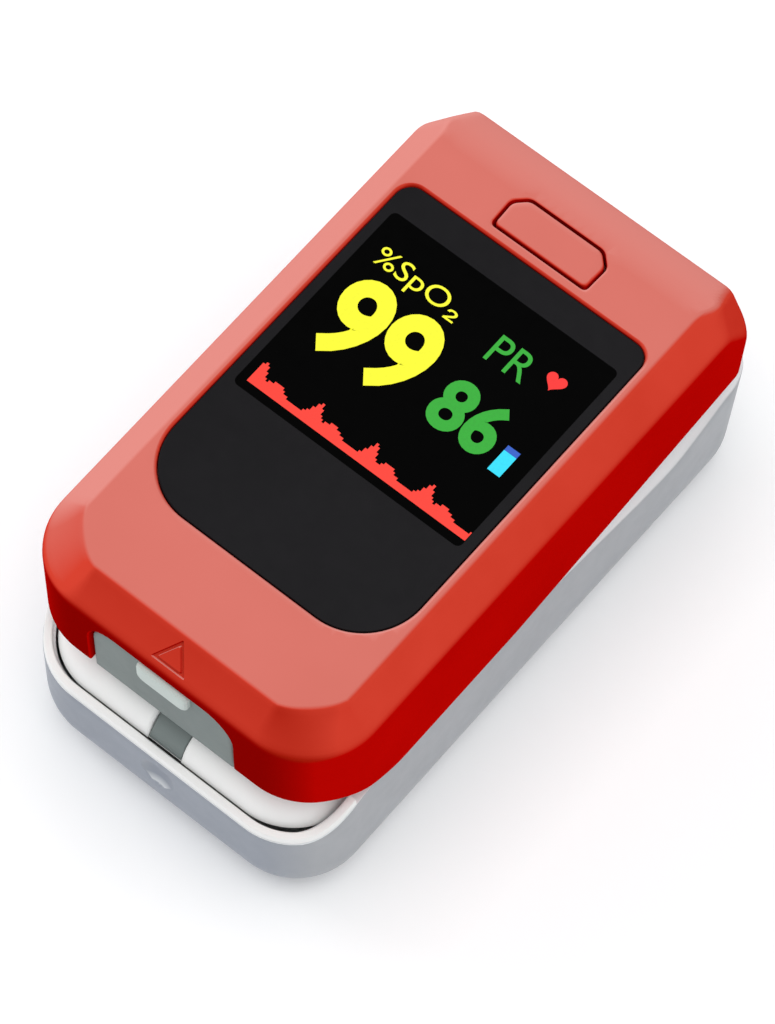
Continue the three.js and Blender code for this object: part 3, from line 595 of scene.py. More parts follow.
# ---- Top cover ----
KNEE = ROOF - CHAMFER_DROP
SEAM_RISE = (19.5, 28.5)  # the edge rises to the mouth over this distance in front of the middle
SEAM_BEND = 4  # and towards the rear from this far in front of the middle, over the length of the run
SEAM_RUN = 33.5
FALL_BEYOND = 29.2  # behind the cover's end the fall goes on by 1 in this
ROOF_SOFT = 0.25  # width of the crease where the roof begins to fall
FACET_SOFT = 0.5


def seam_height(y):
    """The cover's edge: level along the sides, up to the mouth in front, and up towards the rear."""
    mouth = (SEAM_MOUTH - SEAM_SIDE) * smooth_step(*SEAM_RISE, -y)
    return SEAM_SIDE + mouth + np.clip(y + SEAM_BEND, 0, None) * (SEAM_REAR - SEAM_SIDE) / SEAM_RUN


def fall(y):
    """How far the roof lies below its level part."""
    t = np.clip((y - FALL_FROM) / (COVER["y1"] - FALL_FROM), 0, None)
    return np.where(t < 1, CHAMFER_DROP * t * t, CHAMFER_DROP + (y - COVER["y1"]) / FALL_BEYOND)


def lowered(p):
    """Points that lie on the roof, moved down with its fall."""
    return p - np.outer(fall(p[:, 1]), (0, 0, 1))


def lean_cover(p, knee, plan):
    """Leans the rear wall inwards below the knee, and deepens the front chamfer above it."""
    drop = np.clip(knee - p[:, 2], 0, None)
    rise = np.clip((p[:, 2] - knee) / CHAMFER_DROP, 0, 1)
    corner = plan["y0"] + plan["front_r"]
    front = np.clip((corner - p[:, 1]) / plan["front_r"], 0, 1)
    rear = np.clip(p[:, 1] / (plan["y1"] - plan["rear_r"]), 0, 1)
    p[:, 1] += FRONT_EXTRA * rise * front - REAR_LEAN * drop * rear
    return p


def trim_cover(inset, roof):
    """The fall of the roof and the two facets at the rear corners, with softened creases."""
    def change(p):
        level = 1 - smooth_step(FALL_FROM, 27, p[:, 1])
        top = roof - fall(p[:, 1] + inset) + ROOF_SOFT * level
        p[:, 2] = np.where(p[:, 1] > 20, smooth_min(p[:, 2], top, ROOF_SOFT), p[:, 2])
        for sign in (-1, 1):
            normal = FACET * np.array([sign, 1, 1])
            beyond = p @ normal - (FACET_AT - inset)
            p += np.outer(smooth_min(beyond, np.zeros(len(p)), FACET_SOFT) - beyond, normal)
        return p
    return change


def wall_rings(form, plan, knee, profile, shares):
    """Rings of a leaning wall from the seam up, and on along a profile of (inset, height).

    Each of the shares is (inset, share of the way from the seam to the profile, height above that).
    """
    points, normals = outline(**plan)
    corner = np.where(points[:, 1] < 0, 2 * np.abs(normals[:, 0] * normals[:, 1]), 0)

    def add(inset, heights):
        p = np.zeros((len(points), 3))
        rise = np.clip((heights - knee) / CHAMFER_DROP, 0, 1)
        radius = max(plan["rear_r"] - REAR_TIGHTER, inset + 0.25)
        tighter = outline(**{**plan, "rear_r": radius})[0]
        p[:, :2] = tighter - normals * np.reshape(inset + CORNER_EXTRA * rise * corner, (-1, 1))
        p[:, 2] = heights
        return form.ring(lean_cover(p, knee, plan))

    def above_seam(inset, share, rise):
        p = np.zeros((len(points), 3))
        p[:, :2] = points - normals * inset
        p[:, 2] = SEAM_SIDE
        for _ in range(3):
            leaned = lean_cover(p.copy(), knee, plan)
            low = seam_height(leaned[:, 1]) + rise
            p[:, 2] = low + (profile[0][1] - low) * share
        return p[:, 2]

    rings = [add(inset, above_seam(inset, share, rise)) for inset, share, rise in shares]
    return rings + [add(inset, height) for inset, height in profile]


def button_outline(grow):
    """Plan of the button: cut rear corners, rounded all round."""
    x, y0, y1, off = BUTTON["x"], BUTTON["y0"], BUTTON["y1"], BUTTON["cut"]
    corners = [(-x + 0.1, y0, 0.55), (x - 0.1, y0, 0.55), (x, y1 - off, 0.5),
               (x - off, y1, 0.5), (-x + off, y1, 0.5), (-x, y1 - off, 0.5)]
    return rounded(corners, grow)


def rounded(corners, grow=0.0, steps=6, spacing=0.5):
    """A polygon of (x, y, corner length), counter-clockwise, with rounded corners, grown outwards."""
    pts = [Vector(c[:2]) for c in corners]
    moved = []
    for i, p in enumerate(pts):
        a = (p - pts[i - 1]).normalized()
        b = (pts[(i + 1) % len(pts)] - p).normalized()
        na, nb = Vector((a.y, -a.x)), Vector((b.y, -b.x))
        moved.append(p + (na + nb) * (grow / max(0.2, 1 + na.dot(nb))))
    out = []
    for i, p in enumerate(moved):
        before, after = moved[i - 1], moved[(i + 1) % len(moved)]
        length = corners[i][2]
        start = p + (before - p).normalized() * length
        end = p + (after - p).normalized() * length
        out += curve(start, p, end, steps)
        following = corners[(i + 1) % len(corners)][2]
        rest = (pts[(i + 1) % len(pts)] - pts[i]).length - length - following
        count = max(1, int(rest / spacing))
        stop = after + (p - after).normalized() * following
        out += [tuple(end.lerp(stop, k / count)) for k in range(1, count)]
    return np.array(out)


def arch_outline(grow, bottom=10.0):
    """The mouth's arch in front view, counter-clockwise seen from the front."""
    steps = 8
    x, top, r = ARCH_X + grow, ARCH_TOP + grow, ARCH_R + grow
    out = [(-x, bottom), (x, bottom)]
    for cx, start in ((x - r, 0.0), (-x + r, math.pi / 2)):
        for i in range(steps + 1):
            a = start + math.pi / 2 * i / steps
            out.append((cx + r * math.cos(a), top - r + r * math.sin(a)))
    return [(ARCH_MIDDLE + a, z) for a, z in out]


def front_loft(loops):
    """A solid through front-view loops: each is (points, distance behind the cover's front wall)."""
    return loft([[(x, COVER["y0"] + behind, z) for x, z in points] for points, behind in loops])


def arrow_groove():
    """The engraved triangle on the front chamfer."""
    slope = np.array([0, CHAMFER_IN + FRONT_EXTRA, CHAMFER_DROP])
    slope /= np.linalg.norm(slope)
    normal = np.array([0, -slope[2], slope[1]])
    base = np.array([0, COVER["y0"], KNEE])
    form = Form()
    rings = []
    for inset, depth in ((-0.1, -0.4), (0.08, 0.25), (0.3, 0.25), (0.48, -0.4)):
        corners = [(-1.85, 0.75, 0.2), (2.1, 0.75, 0.2), (0.15, 3.75, 0.2)]
        loop = rounded(corners, -inset, 3, 0.4)
        rings.append(form.ring([base + slope * v + np.array([u, 0, 0]) - normal * depth for u, v in loop]))
    form.skin(rings + [rings[0]])
    return form.face_out()


def cover_profile():
    """(inset, height) up the cover's wall and chamfer, with both of its edges rounded."""
    along = np.array([CHAMFER_IN, CHAMFER_DROP]) / math.hypot(CHAMFER_IN, CHAMFER_DROP)
    knee, top = np.array([0, KNEE]), np.array([CHAMFER_IN, ROOF])
    lower, upper = knee + along * KNEE_FILLET, top - along * TOP_FILLET
    profile = [(0, z) for z in np.arange(22, KNEE - KNEE_FILLET, 0.45)]
    profile += curve((0, KNEE - KNEE_FILLET), knee, lower, 4)
    profile += [tuple(lower + (upper - lower) * t) for t in np.linspace(0, 1, 9)[1:-1]]
    return profile + curve(upper, top, (CHAMFER_IN + TOP_FILLET, ROOF), 4)


def cover_outside(form):
    """The outside and the window's recess. Returns the seam's ring and those of the button's opening."""
    shares = [(0.2, 0, 0), (0.06, 0, 0.06), (0, 0, 0.2), (0, 0.35, 0.1), (0, 0.7, 0.05)]
    outer = wall_rings(form, COVER, KNEE, cover_profile(), shares)
    form.skin(outer)
    window = [form.ring(with_height(outline_grown(WINDOW, grow), ROOF - drop))
              for grow, drop in ((0.42, 0), (0.36, 0.02), (0.16, 0.18), (0.08, 0.3), (0.08, 1.2))]
    button = [form.ring(with_height(button_outline(grow), ROOF - drop))
              for grow, drop in ((0.5, 0), (0.36, 0.03), (0.28, 0.1), (0.25, 0.25))]
    form.fill(outer[-1], [window[0], button[0]], 1.1)
    count = len(form.points)
    form.skin(window[::-1], turned=True)
    form.fill(window[-1], [], 2.5)
    edges = {i for ring in window + button for i in ring} | set(range(count, len(form.points)))
    form.warp(trim_cover(0, ROOF), [i for i in range(count) if i not in edges])
    form.warp(lowered, sorted(edges))
    return outer[0], button


def cover_inside(form, seam, button):
    """The inside, joined to the outside along the seam and through the button's opening."""
    start = len(form.points)
    inner = {"x": COVER["x"] - COVER_WALL, "y0": COVER["y0"] + COVER_WALL, "y1": COVER["y1"] - COVER_WALL,
             "front_r": COVER["front_r"] - COVER_WALL, "rear_r": CHAMFER_IN + 0.2}
    knee = INNER_ROOF - CHAMFER_DROP
    profile = [(0, z) for z in np.linspace(knee - 4, knee, 6)]
    profile += [(CHAMFER_IN * t, knee + CHAMFER_DROP * t) for t in np.linspace(0, 1, 6)[1:]]
    inside = wall_rings(form, inner, knee, profile, [(0, 0, 0)])
    opening = form.ring(with_height(button_outline(0.25), INNER_ROOF))
    form.skin(inside[::-1])
    form.fill(inside[-1], [opening], 2.5, up=False)
    form.warp(trim_cover(COVER_WALL, INNER_ROOF), range(start, len(form.points)))
    form.skin([inside[0], seam])
    form.skin([opening] + button[::-1], turned=True)


def make_cover():
    form = Form()
    seam, button = cover_outside(form)
    cover_inside(form, seam, button)
    cover = form_object("cover", form)
    arch = front_loft([(arch_outline(0.45), -1.2), (arch_outline(0.16), -0.02), (arch_outline(0), 0.14),
                       (arch_outline(0), 5)])
    cut(cover, [arch, arrow_groove()])
    finish_piece(cover, "upper_half", "cover_plastic", ["top_cover"])
    weighted(cover)


def outline_grown(plan, grow):
    grown = {"x": plan["x"] + grow, "y0": plan["y0"] - grow, "y1": plan["y1"] + grow,
             "front_r": plan["front_r"] + grow, "rear_r": plan["rear_r"] + grow}
    return outline(**grown, mouth=24, front=20, side=50, rear=10, back=40)[0]


# ---- Window, display, button ----
def make_window():
    loops = [(outline_grown(WINDOW, 0), 28.86), (outline_grown(WINDOW, 0), WINDOW_TOP - 0.1),
             (outline_grown(WINDOW, -0.03), WINDOW_TOP - 0.03), (outline_grown(WINDOW, -0.12), WINDOW_TOP)]
    window = piece("window", plate(loops, 2.5), "upper_half", "window_plastic", ["display_window"], sharp=12)
    weighted(window)
    screen = outline(**SCREEN, mouth=8, front=5, side=8, rear=5, back=8)[0]
    inlay("screen", screen, None, SCREEN_PROUD)


def inlay(name, points, material, proud=INLAY_PROUD):
    """A thin lit or dark area of the display, just proud of the window."""
    form = loft([with_height(points, z) for z in (WINDOW_TOP - 0.15, WINDOW_TOP + proud)])
    piece(name, form, "upper_half", "display_panel", material=material)


def words(name, text, size, middle, width, height, material, weight):
    """Lit figures or letters, fitted to a box on the display."""
    data = bpy.data.curves.new(name, "FONT")
    data.body = text
    data.size = size * MM
    data.offset = weight * MM
    data.extrude = TEXT_THICK * MM
    data.resolution_u = 6
    data.align_x = "CENTER"
    text_object = add_object(name + "_text", data)
    bpy.context.view_layer.update()
    graph = bpy.context.evaluated_depsgraph_get()
    mesh = bpy.data.meshes.new_from_object(text_object.evaluated_get(graph))
    bpy.data.objects.remove(text_object)
    co = np.array([v.co[:] for v in mesh.vertices])
    low, high = co.min(0), co.max(0)
    scale = np.array([width * MM / (high[0] - low[0]), height * MM / (high[1] - low[1]), 1])
    co = (co - (low + high) / 2) * scale
    co += np.array([middle[0], middle[1], 0]) * MM
    co[:, 2] += (WINDOW_TOP - TEXT_MIDDLE) * MM
    mesh.vertices.foreach_set("co", co.ravel())
    mesh.update()
    bm = bmesh.new()
    bm.from_mesh(mesh)
    bmesh.ops.remove_doubles(bm, verts=bm.verts, dist=1e-6)
    bm.to_mesh(mesh)
    bm.free()
    finish_piece(add_object(name, mesh), "upper_half", "display_panel", material=material)


def wave_outline():
    """A filled pulse wave in small steps, as such a display draws it."""
    step = 0.26
    left, right, low = -12.1, 13.0, -5.1
    beat_length = 6.4
    top = []
    x = left
    while x < right:
        beat = ((x - left) / beat_length + 0.12) % 1
        pulse = math.exp(-((beat - 0.16) / 0.1) ** 2) + 0.45 * math.exp(-((beat - 0.5) / 0.16) ** 2)
        height = 0.75 + round((1.75 * pulse) / step) * step
        top += [(x, low + height), (min(x + step, right), low + height)]
        x += step
    points = [(left, low), (right, low)] + top[::-1]
    return [p for i, p in enumerate(points) if i == 0 or math.dist(p, points[i - 1]) > 1e-6]


def heart_outline(x, y, size):
    """The well-known heart curve, 16 units to its half width."""
    points = []
    for i in range(40):
        a = TAU * i / 40
        up = 13 * math.cos(a) - 5 * math.cos(2 * a) - 2 * math.cos(3 * a) - math.cos(4 * a)
        points.append((x + size * math.sin(a) ** 3, y + size / 16 * up))
    return points[::-1]


def make_display():
    yellow = lit("lit_yellow", (1.0, 1.0, 0.0, 1))
    green = lit("lit_green", srgb(0, 172, 14))
    red = lit("lit_red", srgb(255, 12, 4))
    orange = lit("lit_orange", srgb(255, 40, 8))
    cyan = lit("lit_cyan", srgb(0, 226, 255))
    blue = lit("lit_blue", srgb(0, 84, 200))
    words("saturation_label", "%SpO₂", 3, (-6.5, 12.1), 9.7, 2.7, yellow, 0.0)
    words("saturation", "99", 10, (-5.8, 5.7), 10.9, 9.2, yellow, 0.3)
    words("pulse_label", "PR", 3, (4.8, 11.6), 4.3, 3.0, green, 0.0)
    words("pulse", "86", 7, (5.5, 4.7), 7.1, 5.7, green, 0.2)
    inlay("heart", heart_outline(9.25, 12.3, 1.05), red)
    inlay("battery_level", [(10.0, 1.7), (11.4, 1.7), (11.4, 4.1), (10.0, 4.1)], cyan)
    inlay("battery_top", [(10.0, 4.1), (11.4, 4.1), (11.4, 4.7), (10.0, 4.7)], blue)
    inlay("pulse_wave", wave_outline(), orange)


def make_button():
    form = Form()
    flange = rounded([(-7.2, 19.95, 0.8), (7.2, 19.95, 0.8), (7.2, 25.75, 0.8), (-7.2, 25.75, 0.8)])
    flange, flange_top = (form.ring(with_height(flange, z)) for z in (26.82, 27.3))
    form.skin([flange, flange_top])
    form.fill(flange, [], 2.5, up=False)
    rings = [form.ring(with_height(button_outline(grow), z))
             for grow, z in ((0, 27.3), (0, 29.68), (-0.03, 29.82), (-0.11, 29.92), (-0.26, 29.97))]
    form.fill(flange_top, [rings[0]], 2.5)
    form.skin(rings)
    form.fill(rings[-1], [], 0.8)
    high = [i for i, p in enumerate(form.points) if p[2] > 29]
    form.warp(lowered, high)
    button = piece("button", form, "power_button", "button_plastic", ["power_button"])
    weighted(button)


# ---- Bottom shell ----
def shell_edge(p):
    """Height of the shell's edge at each plan point: low in front, and bevelled down along the sides."""
    bend = np.array([[(1 - t)**3 * a + 3 * t * (1 - t)**2 * b + 3 * t * t * (1 - t) * c + t**3 * d
                      for a, b, c, d in ((-31.2, -28.5, -27, -23),
                                         (SHELL_TOP_FRONT, SHELL_TOP_FRONT, SHELL_TOP, SHELL_TOP))]
                     for t in np.linspace(0, 1, 30)])
    front = np.interp(p[:, 1], bend[:, 0], bend[:, 1])
    dip = np.where(p[:, 1] < DIP[0][0], 99, through(DIP, p[:, 1]))
    side = dip + RIM_SLOPE * np.clip(SHELL["x"] - np.abs(p[:, 0]), 0, None)
    return np.minimum(np.minimum(front, side), SHELL_TOP)


def lean_shell(p):
    drop = np.clip(SHELL_TOP - p[:, 2], 0, None)
    rear = np.clip(p[:, 1] / (SHELL["y1"] - SHELL["rear_r"]), 0, 1)
    p[:, 1] -= SHELL_LEAN * drop * rear
    return p


def rear_round(inset, z):
    """The inset of the lower edge at each plan point: the edge is tighter at the rear, where the door is."""
    points, normals = outline(**SHELL)
    side = inset * (1 - SHELL_ROUND_FADE * smooth_step(-10, 28, points[:, 1]))
    share = np.clip(1 - z / SHELL_ROUND_REAR, 0, 1)
    tight = SHELL_ROUND_REAR * (1 - math.sqrt(1 - share * share))
    rear = smooth_step(0.2, 0.95, normals[:, 1])
    return side * (1 - rear) + tight * rear


def inset_points(plan, inset, height):
    """The plan's points at a height, moved inwards by one inset or by one for each point."""
    points, normals = outline(**plan)
    p = np.zeros((len(points), 3))
    p[:, :2] = points - normals * np.reshape(inset * np.ones(len(points)), (-1, 1))
    p[:, 2] = height
    return p


def shell_ring(form, inset, low, share=None, below=0.0):
    """A ring round the shell at a height, or at a share of the way from there up to its edge."""
    p = inset_points(SHELL, inset, low)
    if share is not None:
        for _ in range(3):
            leaned = lean_shell(p.copy())
            p[:, 2] = low + (shell_edge(leaned) - below - low) * share
    return form.ring(lean_shell(p))


def make_shell():
    form = Form()
    across, high = SHELL_ROUND
    turn = [(across * (1 - math.sin(a)), high * (1 - math.cos(a))) for a in np.linspace(0, math.pi / 2, 13)]
    turn = [(rear_round(inset, z), z) for inset, z in turn]
    outer = [shell_ring(form, inset, z) for inset, z in turn]
    outer += [shell_ring(form, 0, high, share, 0.15) for share in (0.3, 0.6, 0.85, 1)]
    outer += [shell_ring(form, inset, high, 1, below)
              for inset, below in ((0.04, 0.05), (0.14, 0), (0.6, 0), (1.1, 0.0), (SHELL_WALL, 0.08))]
    outer += [shell_ring(form, SHELL_WALL, 3, share, 0.1) for share in (0.9, 0.5, 0.0)]
    outer += [shell_ring(form, SHELL_WALL + 1.2, SHELL_FLOOR)]
    form.skin(outer)
    form.fill(outer[0], [], 3, up=False)
    form.fill(outer[-1], [], 3)
    shell = form_object("shell", form)
    slot = [box_form(-12.65, 12.65, -24.15, 40, -1, 1.45), box_form(-13.45, 13.45, -24.15, 40, 0.65, 1.45),
            box_form(-BAY_HALF, BAY_HALF, -22, BAY_REAR, 1, 4)]
    holes = [round_form(x, -26.6, -1, 1.4, 1.7) for x in (-12.4, 12.4)]
    lanyard = [box_form(x, x + 1.6, 29, 40, 8, 11) for x in (-12.6, -9.4)]
    cut(shell, slot + holes + lanyard + [nail_recess()])
    finish_piece(shell, "lower_half", "shell_plastic", ["bottom_shell"])
    weighted(shell)
    finish_piece(bay_walls(), "lower_half", "shell_plastic")


def nail_recess():
    """A shallow ball-shaped recess in the shell's front wall."""
    sections = []
    for a in np.linspace(0, math.pi, 25)[1:-1]:
        r, z = NAIL_R * math.sin(a), NAIL_Z - NAIL_R * math.cos(a)
        sections.append([(r * math.cos(b), SHELL["y0"] - 3 + r * math.sin(b), z)
                         for b in np.linspace(0, TAU, 48, endpoint=False)])
    return loft(sections)


def bay_walls():
    """The battery bay's walls inside the shell."""
    parts = [(-BAY_HALF, BAY_HALF, -24.5, -23.5, 1.9, 12.4),
             (-BAY_HALF, BAY_HALF, BAY_REAR, 26.8, 1.9, 12.4),
             (11.25, 12.2, -24, 26.3, 1.9, 9), (-12.2, -11.25, -24, 26.3, 1.9, 9)]
    bm = bmesh.new()
    for x0, x1, y0, y1, z0, z1 in parts:
        made = bmesh.ops.create_cube(bm, size=1)
        size = Matrix.Diagonal(((x1 - x0) * MM, (y1 - y0) * MM, (z1 - z0) * MM, 1))
        middle = Matrix.Translation(Vector(((x0 + x1) / 2, (y0 + y1) / 2, (z0 + z1) / 2)) * MM)
        bmesh.ops.transform(bm, matrix=middle @ size, verts=made["verts"])
    bmesh.ops.bevel(bm, geom=bm.edges[:], offset=0.2 * MM, segments=2, affect="EDGES")
    mesh = bpy.data.meshes.new("bay_walls")
    bm.to_mesh(mesh)
    bm.free()
    return add_object("bay_walls", mesh)


# ---- White lower frame ----
FRAME = {"x": 16.1, "y0": -31.2, "y1": 31.6, "front_r": 6.6, "rear_r": 2.6}
FRAME_FOOT = 11.85
FRAME_TOP = 15.2
DECK_UNDER = 12.8
DECK_TOP = 13.7
POCKET = {"x": 10.7, "y0": -28.6, "y1": 4.2}
BAY = {"x": 12.0, "y0": 5.2, "y1": 28.0}
BEZEL = curve((-0.3, 12.12), (0.12, 14.6), (2.1, FRAME_TOP), 12)
NOTCH_X = 1.95
NOTCH_END = -28.9  # behind this y the notch runs over the deck


def frame_top(y):
    return FRAME_TOP - 1.2 * np.clip((y - 10) / 20, 0, 1)


def bezel_height(y):
    """Height of the frame's rounded front slope on its middle line."""
    slope = np.array(BEZEL)
    return np.interp(y, FRAME["y0"] + slope[:, 0], slope[:, 1])


def frame_ring(form, inset, height):
    """A ring round the frame. The slope is in front only: the sides are upright."""
    front = smooth_step(22, 26, -outline(**FRAME)[0][:, 1])
    side = 0.2 * np.clip(height - 14.6, 0, None)
    reach = inset * front + side * (1 - front) if height > 12 else inset
    p = inset_points(FRAME, reach, height)
    if height > 12.3:
        p[:, 2] = 12.2 + (height - 12.2) * (frame_top(p[:, 1]) - 12.2) / (FRAME_TOP - 12.2)
    return form.ring(lean_shell(p))


def pocket_rings(form, pocket, floor):
    """Rings from the frame's top down into a pocket, which ends on a floor."""
    x, y0, y1 = pocket["x"], pocket["y0"], pocket["y1"]
    corners = [(-x, y0, 0.8), (x, y0, 0.8), (x, y1, 0.8), (-x, y1, 0.8)]
    rings = []
    for grow, drop in ((0.16, 0), (0.05, 0.04), (0, 0.16)):
        loop = rounded(corners, grow, 4, 1.0)
        rings.append(form.ring([(a, b, frame_top(b) - drop) for a, b in loop]))
    rings.append(form.ring(with_height(rounded(corners, 0, 4, 1.0), floor)))
    form.skin(rings[::-1], turned=True)
    form.fill(rings[-1], [], 3)
    return rings[0]


def make_lower_frame():
    form = Form()
    under = frame_ring(form, 1.0, 11.9)
    for i in under:
        form.points[i][2] = DECK_UNDER
    foot = [(0.9, FRAME_FOOT), (0, FRAME_FOOT), (-0.3, 12.04)]
    rings = [under] + [frame_ring(form, inset, height) for inset, height in [*foot, *BEZEL]]
    form.skin(rings)
    form.fill(under, [], 4, up=False)
    holes = [pocket_rings(form, POCKET, DECK_TOP), pocket_rings(form, BAY, DECK_TOP)]
    start = len(form.points)
    form.fill(rings[-1], holes, 2)
    form.warp(lambda p: np.column_stack([p[:, :2], frame_top(p[:, 1])]), range(start, len(form.points)))
    body = form_object("lower_frame_body", form)
    cut(body, [notch_tool()])
    finish_piece(body, "lower_half", "frame_plastic", ["lower_frame"])
    weighted(body)
    piece("rim_band", rim_band(), "lower_half", "frame_plastic")
    for number, x in enumerate((-10.3, 8.9), 1):
        piece(f"hinge_ear_{number}", hinge_ear(x, x + 1.4), "lower_half", "frame_plastic")


def notch_tool():
    """The notch in the front slope, with soft edges."""
    sections = []
    for y in (-34, -31.6, -31.3, -31.1, -30.9, -30.6, -30.2, -29.8, -29.4, -29, -28, -25):
        h = float(bezel_height(y))
        bottom = 13.0 if y > NOTCH_END else 12.15 if h > 12.9 else h - 0.8
        half = [(NOTCH_X, bottom), (NOTCH_X, h - 0.45), (NOTCH_X + 0.07, h - 0.22),
                (NOTCH_X + 0.24, h - 0.04), (NOTCH_X + 0.75, h + 0.35)]
        sections.append([(x, y, z) for x, z in half] + [(-x, y, z) for x, z in half[::-1]])
    return loft(sections)


def rim_band():
    """The white band that lies on the shell's front edge and runs into the slope."""
    points, normals = outline(**SHELL)
    order = np.roll(np.arange(len(points)), len(points) // 2)
    profile = [(0.9, 0.1), (0.1, 0.1), (0.1, 0.6), (0.18, 0.85), (0.36, 0.95), (0.78, 0.95), (0.88, 0.87)]
    sections = []
    for i in order[points[order, 1] < -25.4]:
        section = []
        for inset, lift in profile:
            at = np.array([[*(points[i] - normals[i] * min(inset, 0.1)), 0]])
            edge = min(float(shell_edge(at)[0]), SHELL_TOP - 0.6)
            section.append((*(points[i] - normals[i] * inset), edge + lift))
        sections.append(section)
    return loft(sections)


def hinge_ear(x0, x1):
    y, z, r = 12, 17.3, 2.4
    foot = [(y - r, 13.6), (y + r, 13.6)]
    around = foot + [(y + r * math.cos(a), z + r * math.sin(a)) for a in np.linspace(0, math.pi, 20)]
    return loft([[(x, y + (a - y) * size, z + (b - z) * size) for a, b in around]
                 for x, size in ((x0, 0.94), (x0 + 0.15, 1), (x1 - 0.15, 1), (x1, 0.94))])


# ---- Silicone pads and mouth tab ----
PAD_X = 10.4
CHANNEL = (-27.4, 1.6)  # its front and rear end
OPTICS_Y = -8.0
OPTICS_R = 3.4
LIP_BOTTOM = 17.15
TAB = {"x": 2.95, "z0": 23.4, "z1": 25.85}


def channel_form(y0, y1):
    """The finger channel: a lying oval."""
    around = [(7.8 * math.cos(a), 17.4 + 2.7 * math.sin(a)) for a in np.linspace(0, TAU, 64)[:-1]]
    return loft([[(x, y, z) for x, z in around] for y in (y0, y0 + 0.01, y1 - 0.01, y1)])


def pad_block(y0, y1, z0, z1):
    """A block of the pad with rounded edges above and below."""
    corners = [(-PAD_X, y0, 0.8), (PAD_X, y0, 0.8), (PAD_X, y1, 0.8), (-PAD_X, y1, 0.8)]
    profile = [(-0.3, z0), (-0.09, z0 + 0.09), (0, z0 + 0.3), (0, z1 - 0.3), (-0.09, z1 - 0.09), (-0.3, z1)]
    return plate([(rounded(corners, grow, 4, 1.0), z) for grow, z in profile], 3)


def make_pads():
    upper = form_object("upper_pad", pad_block(-28.1, 3.9, 15.8, 21.55))
    cut(upper, [channel_form(*CHANNEL), round_form(0, OPTICS_Y, 17, 24, OPTICS_R)])
    finish_piece(upper, "upper_half", "silicone", ["upper_finger_pad"])
    lip = [(arch_outline(grow, LIP_BOTTOM - grow), behind)
           for grow, behind in ((-0.75, 0.27), (-0.45, 0.32), (-0.28, 0.45), (-0.2, 0.7), (-0.2, 1.6))]
    piece("arch_lip", front_loft(lip), "upper_half", "silicone")
    piece("lip_root", box_form(-8.1, 8.1, -29.5, -27.9, 18.05, 21.5), "upper_half", "silicone")

    lower = form_object("lower_pad", pad_block(-28.4, 3.9, 13.85, 15.15))
    cut(lower, [channel_form(*CHANNEL), round_form(0, OPTICS_Y, 13, 17, OPTICS_R)])
    finish_piece(lower, "lower_half", "silicone", ["lower_finger_pad"])
    piece("notch_tongue", tongue(), "lower_half", "silicone")


def tongue():
    """Silicone that fills the notch, a little below the slope."""
    sections = []
    for y in (-31.38, -31.3, -31.1, -30.9, -30.7, -30.3, -29.8, -29.3, -28.6, -28.2):
        top = max(12.5, float(bezel_height(y)) - 0.5)
        half = [(1.85, 12.2), (1.85, top - 0.15), (1.75, top)]
        around = half + [(-x, z) for x, z in half[::-1]]
        sections.append([(x, y, z if y < NOTCH_END else max(z, DECK_TOP + 0.16)) for x, z in around])
    return loft(sections)


def make_tab():
    """The pale tab in the mouth, under the arch's top."""
    x, z0, z1 = TAB["x"], TAB["z0"], TAB["z1"]
    corners = [(-x, z0, 0.9), (x, z0, 0.9), (x, z1, 0.5), (-x, z1, 0.5)]
    loops = [(rounded(corners, grow, 6, 0.8), behind)
             for grow, behind in ((-0.4, -0.38), (-0.22, -0.35), (-0.08, -0.2), (0, 0), (0, 0.3))]
    piece("tab", front_loft(loops), "upper_half", "tab_plastic", ["mouth_tab"])


# ---- Springs and flat cable ----
def make_bending():
    """Copies of the springs and the flat cable, with their materials, attached to neither half."""
    for name, slot in (("torsion_spring_left", "steel"), ("torsion_spring_right", "steel"),
                       ("flex_cable", "ribbon_film")):
        obj = add_object(name + "_bent", frame["nodes"][name].data.copy())
        set_material(obj, PAINT[slot])
        shade(obj.data)
        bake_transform(obj)
        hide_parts(name)


# ---- Stage ----
LIT_POINT = Vector((0, 0, 0.02))
CAMERA_TURN = 39.589  # degrees, from the front to the right
CAMERA_RISE = 63.304  # degrees, above the floor
CAMERA_AIM = Vector((0, 0, 0.012))
CAMERA_SHIFT = (-0.018, -0.314, 504.886)  # from the aim: to the right, upwards and away
SENSOR = 36
LENS = SENSOR * 5500 / 1024


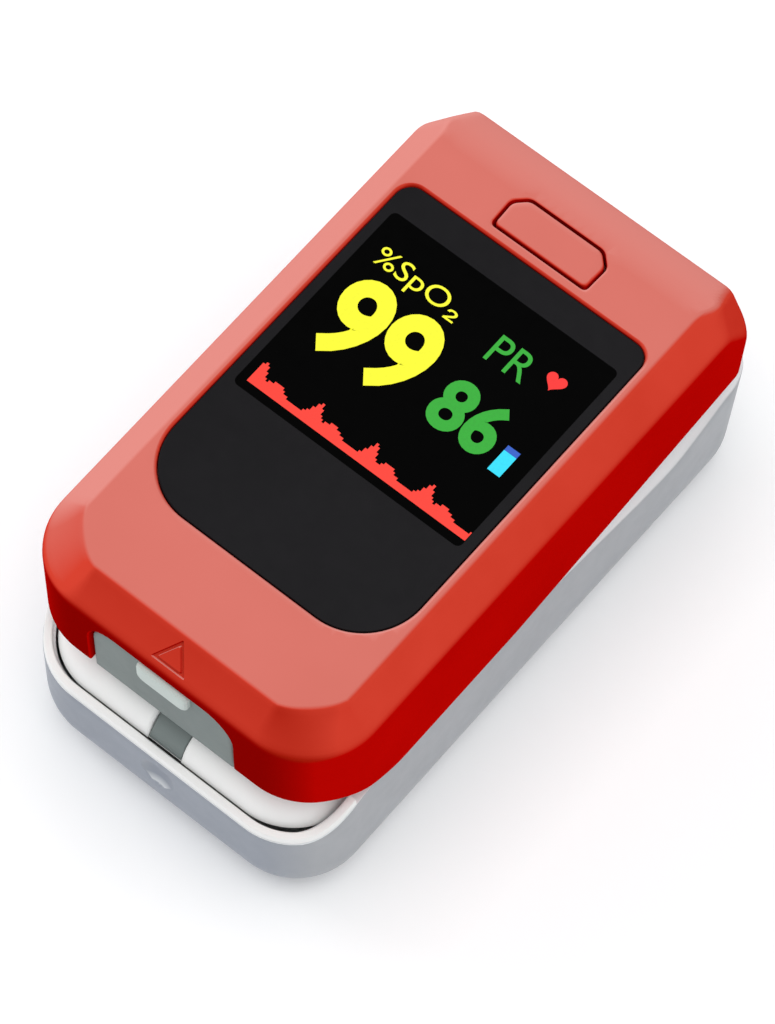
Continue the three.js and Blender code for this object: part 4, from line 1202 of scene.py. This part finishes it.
def make_floor():
    mesh = bpy.data.meshes.new("floor")
    half = 1.5
    corners = [(-half, -half, 0), (half, -half, 0), (half, half, 0), (-half, half, 0)]
    mesh.from_pydata(corners, [], [(0, 1, 2, 3)])
    floor = add_object("floor", mesh)
    paint = Paint("floor", (0.93, 0.93, 0.935, 1), 0.7, specular=0.1)
    paint.shader.inputs["Emission Color"].default_value = (1, 1, 1, 1)
    paint.shader.inputs["Emission Strength"].default_value = 0.1
    paint.base(paint.drift(3, (0.925, 0.925, 0.93, 1), (0.935, 0.935, 0.94, 1)))
    mesh.materials.append(paint.material)


def area_light(name, place, size, power, color):
    data = bpy.data.lights.new(name, "AREA")
    data.size = size
    data.energy = power
    data.color = color
    light = add_object(name, data)
    light.location = place
    light.rotation_euler = (LIT_POINT - Vector(place)).to_track_quat("-Z", "Y").to_euler()


def make_lights():
    world = bpy.data.worlds.new("studio")
    world.use_nodes = True
    background = world.node_tree.nodes["Background"]
    background.inputs["Color"].default_value = (0.95, 0.97, 1.0, 1)
    background.inputs["Strength"].default_value = 0.54
    bpy.context.scene.world = world
    area_light("key", (0.08, 0.0, 0.75), 0.8, 3.8, (1, 0.99, 0.97))
    area_light("left", (-0.5, -0.05, 0.28), 0.3, 0.7, (1, 1, 1))


def make_camera():
    """Seen from the front right, from high up, through a long lens."""
    turn, rise = math.radians(CAMERA_TURN), math.radians(CAMERA_RISE)
    back = Vector((math.sin(turn) * math.cos(rise), -math.cos(turn) * math.cos(rise), math.sin(rise)))
    right = Vector((math.cos(turn), math.sin(turn), 0))
    up = back.cross(right)
    data = bpy.data.cameras.new("camera")
    data.sensor_fit = "VERTICAL"
    data.sensor_height = SENSOR
    data.lens = LENS
    camera = add_object("camera", data)
    camera.matrix_world = Matrix((right, up, back)).transposed().to_4x4()
    across, high, away = CAMERA_SHIFT
    camera.location = CAMERA_AIM + (right * across + up * high + back * away) * MM
    bpy.context.scene.camera = camera


make_camera()
dress_nodes()
make_cover()
make_window()
make_display()
make_button()
make_shell()
make_lower_frame()
make_pads()
make_tab()
make_bending()
make_floor()
make_lights()
bpy.context.scene.view_settings.view_transform = "Standard"
bpy.context.scene.view_settings.look = "None"
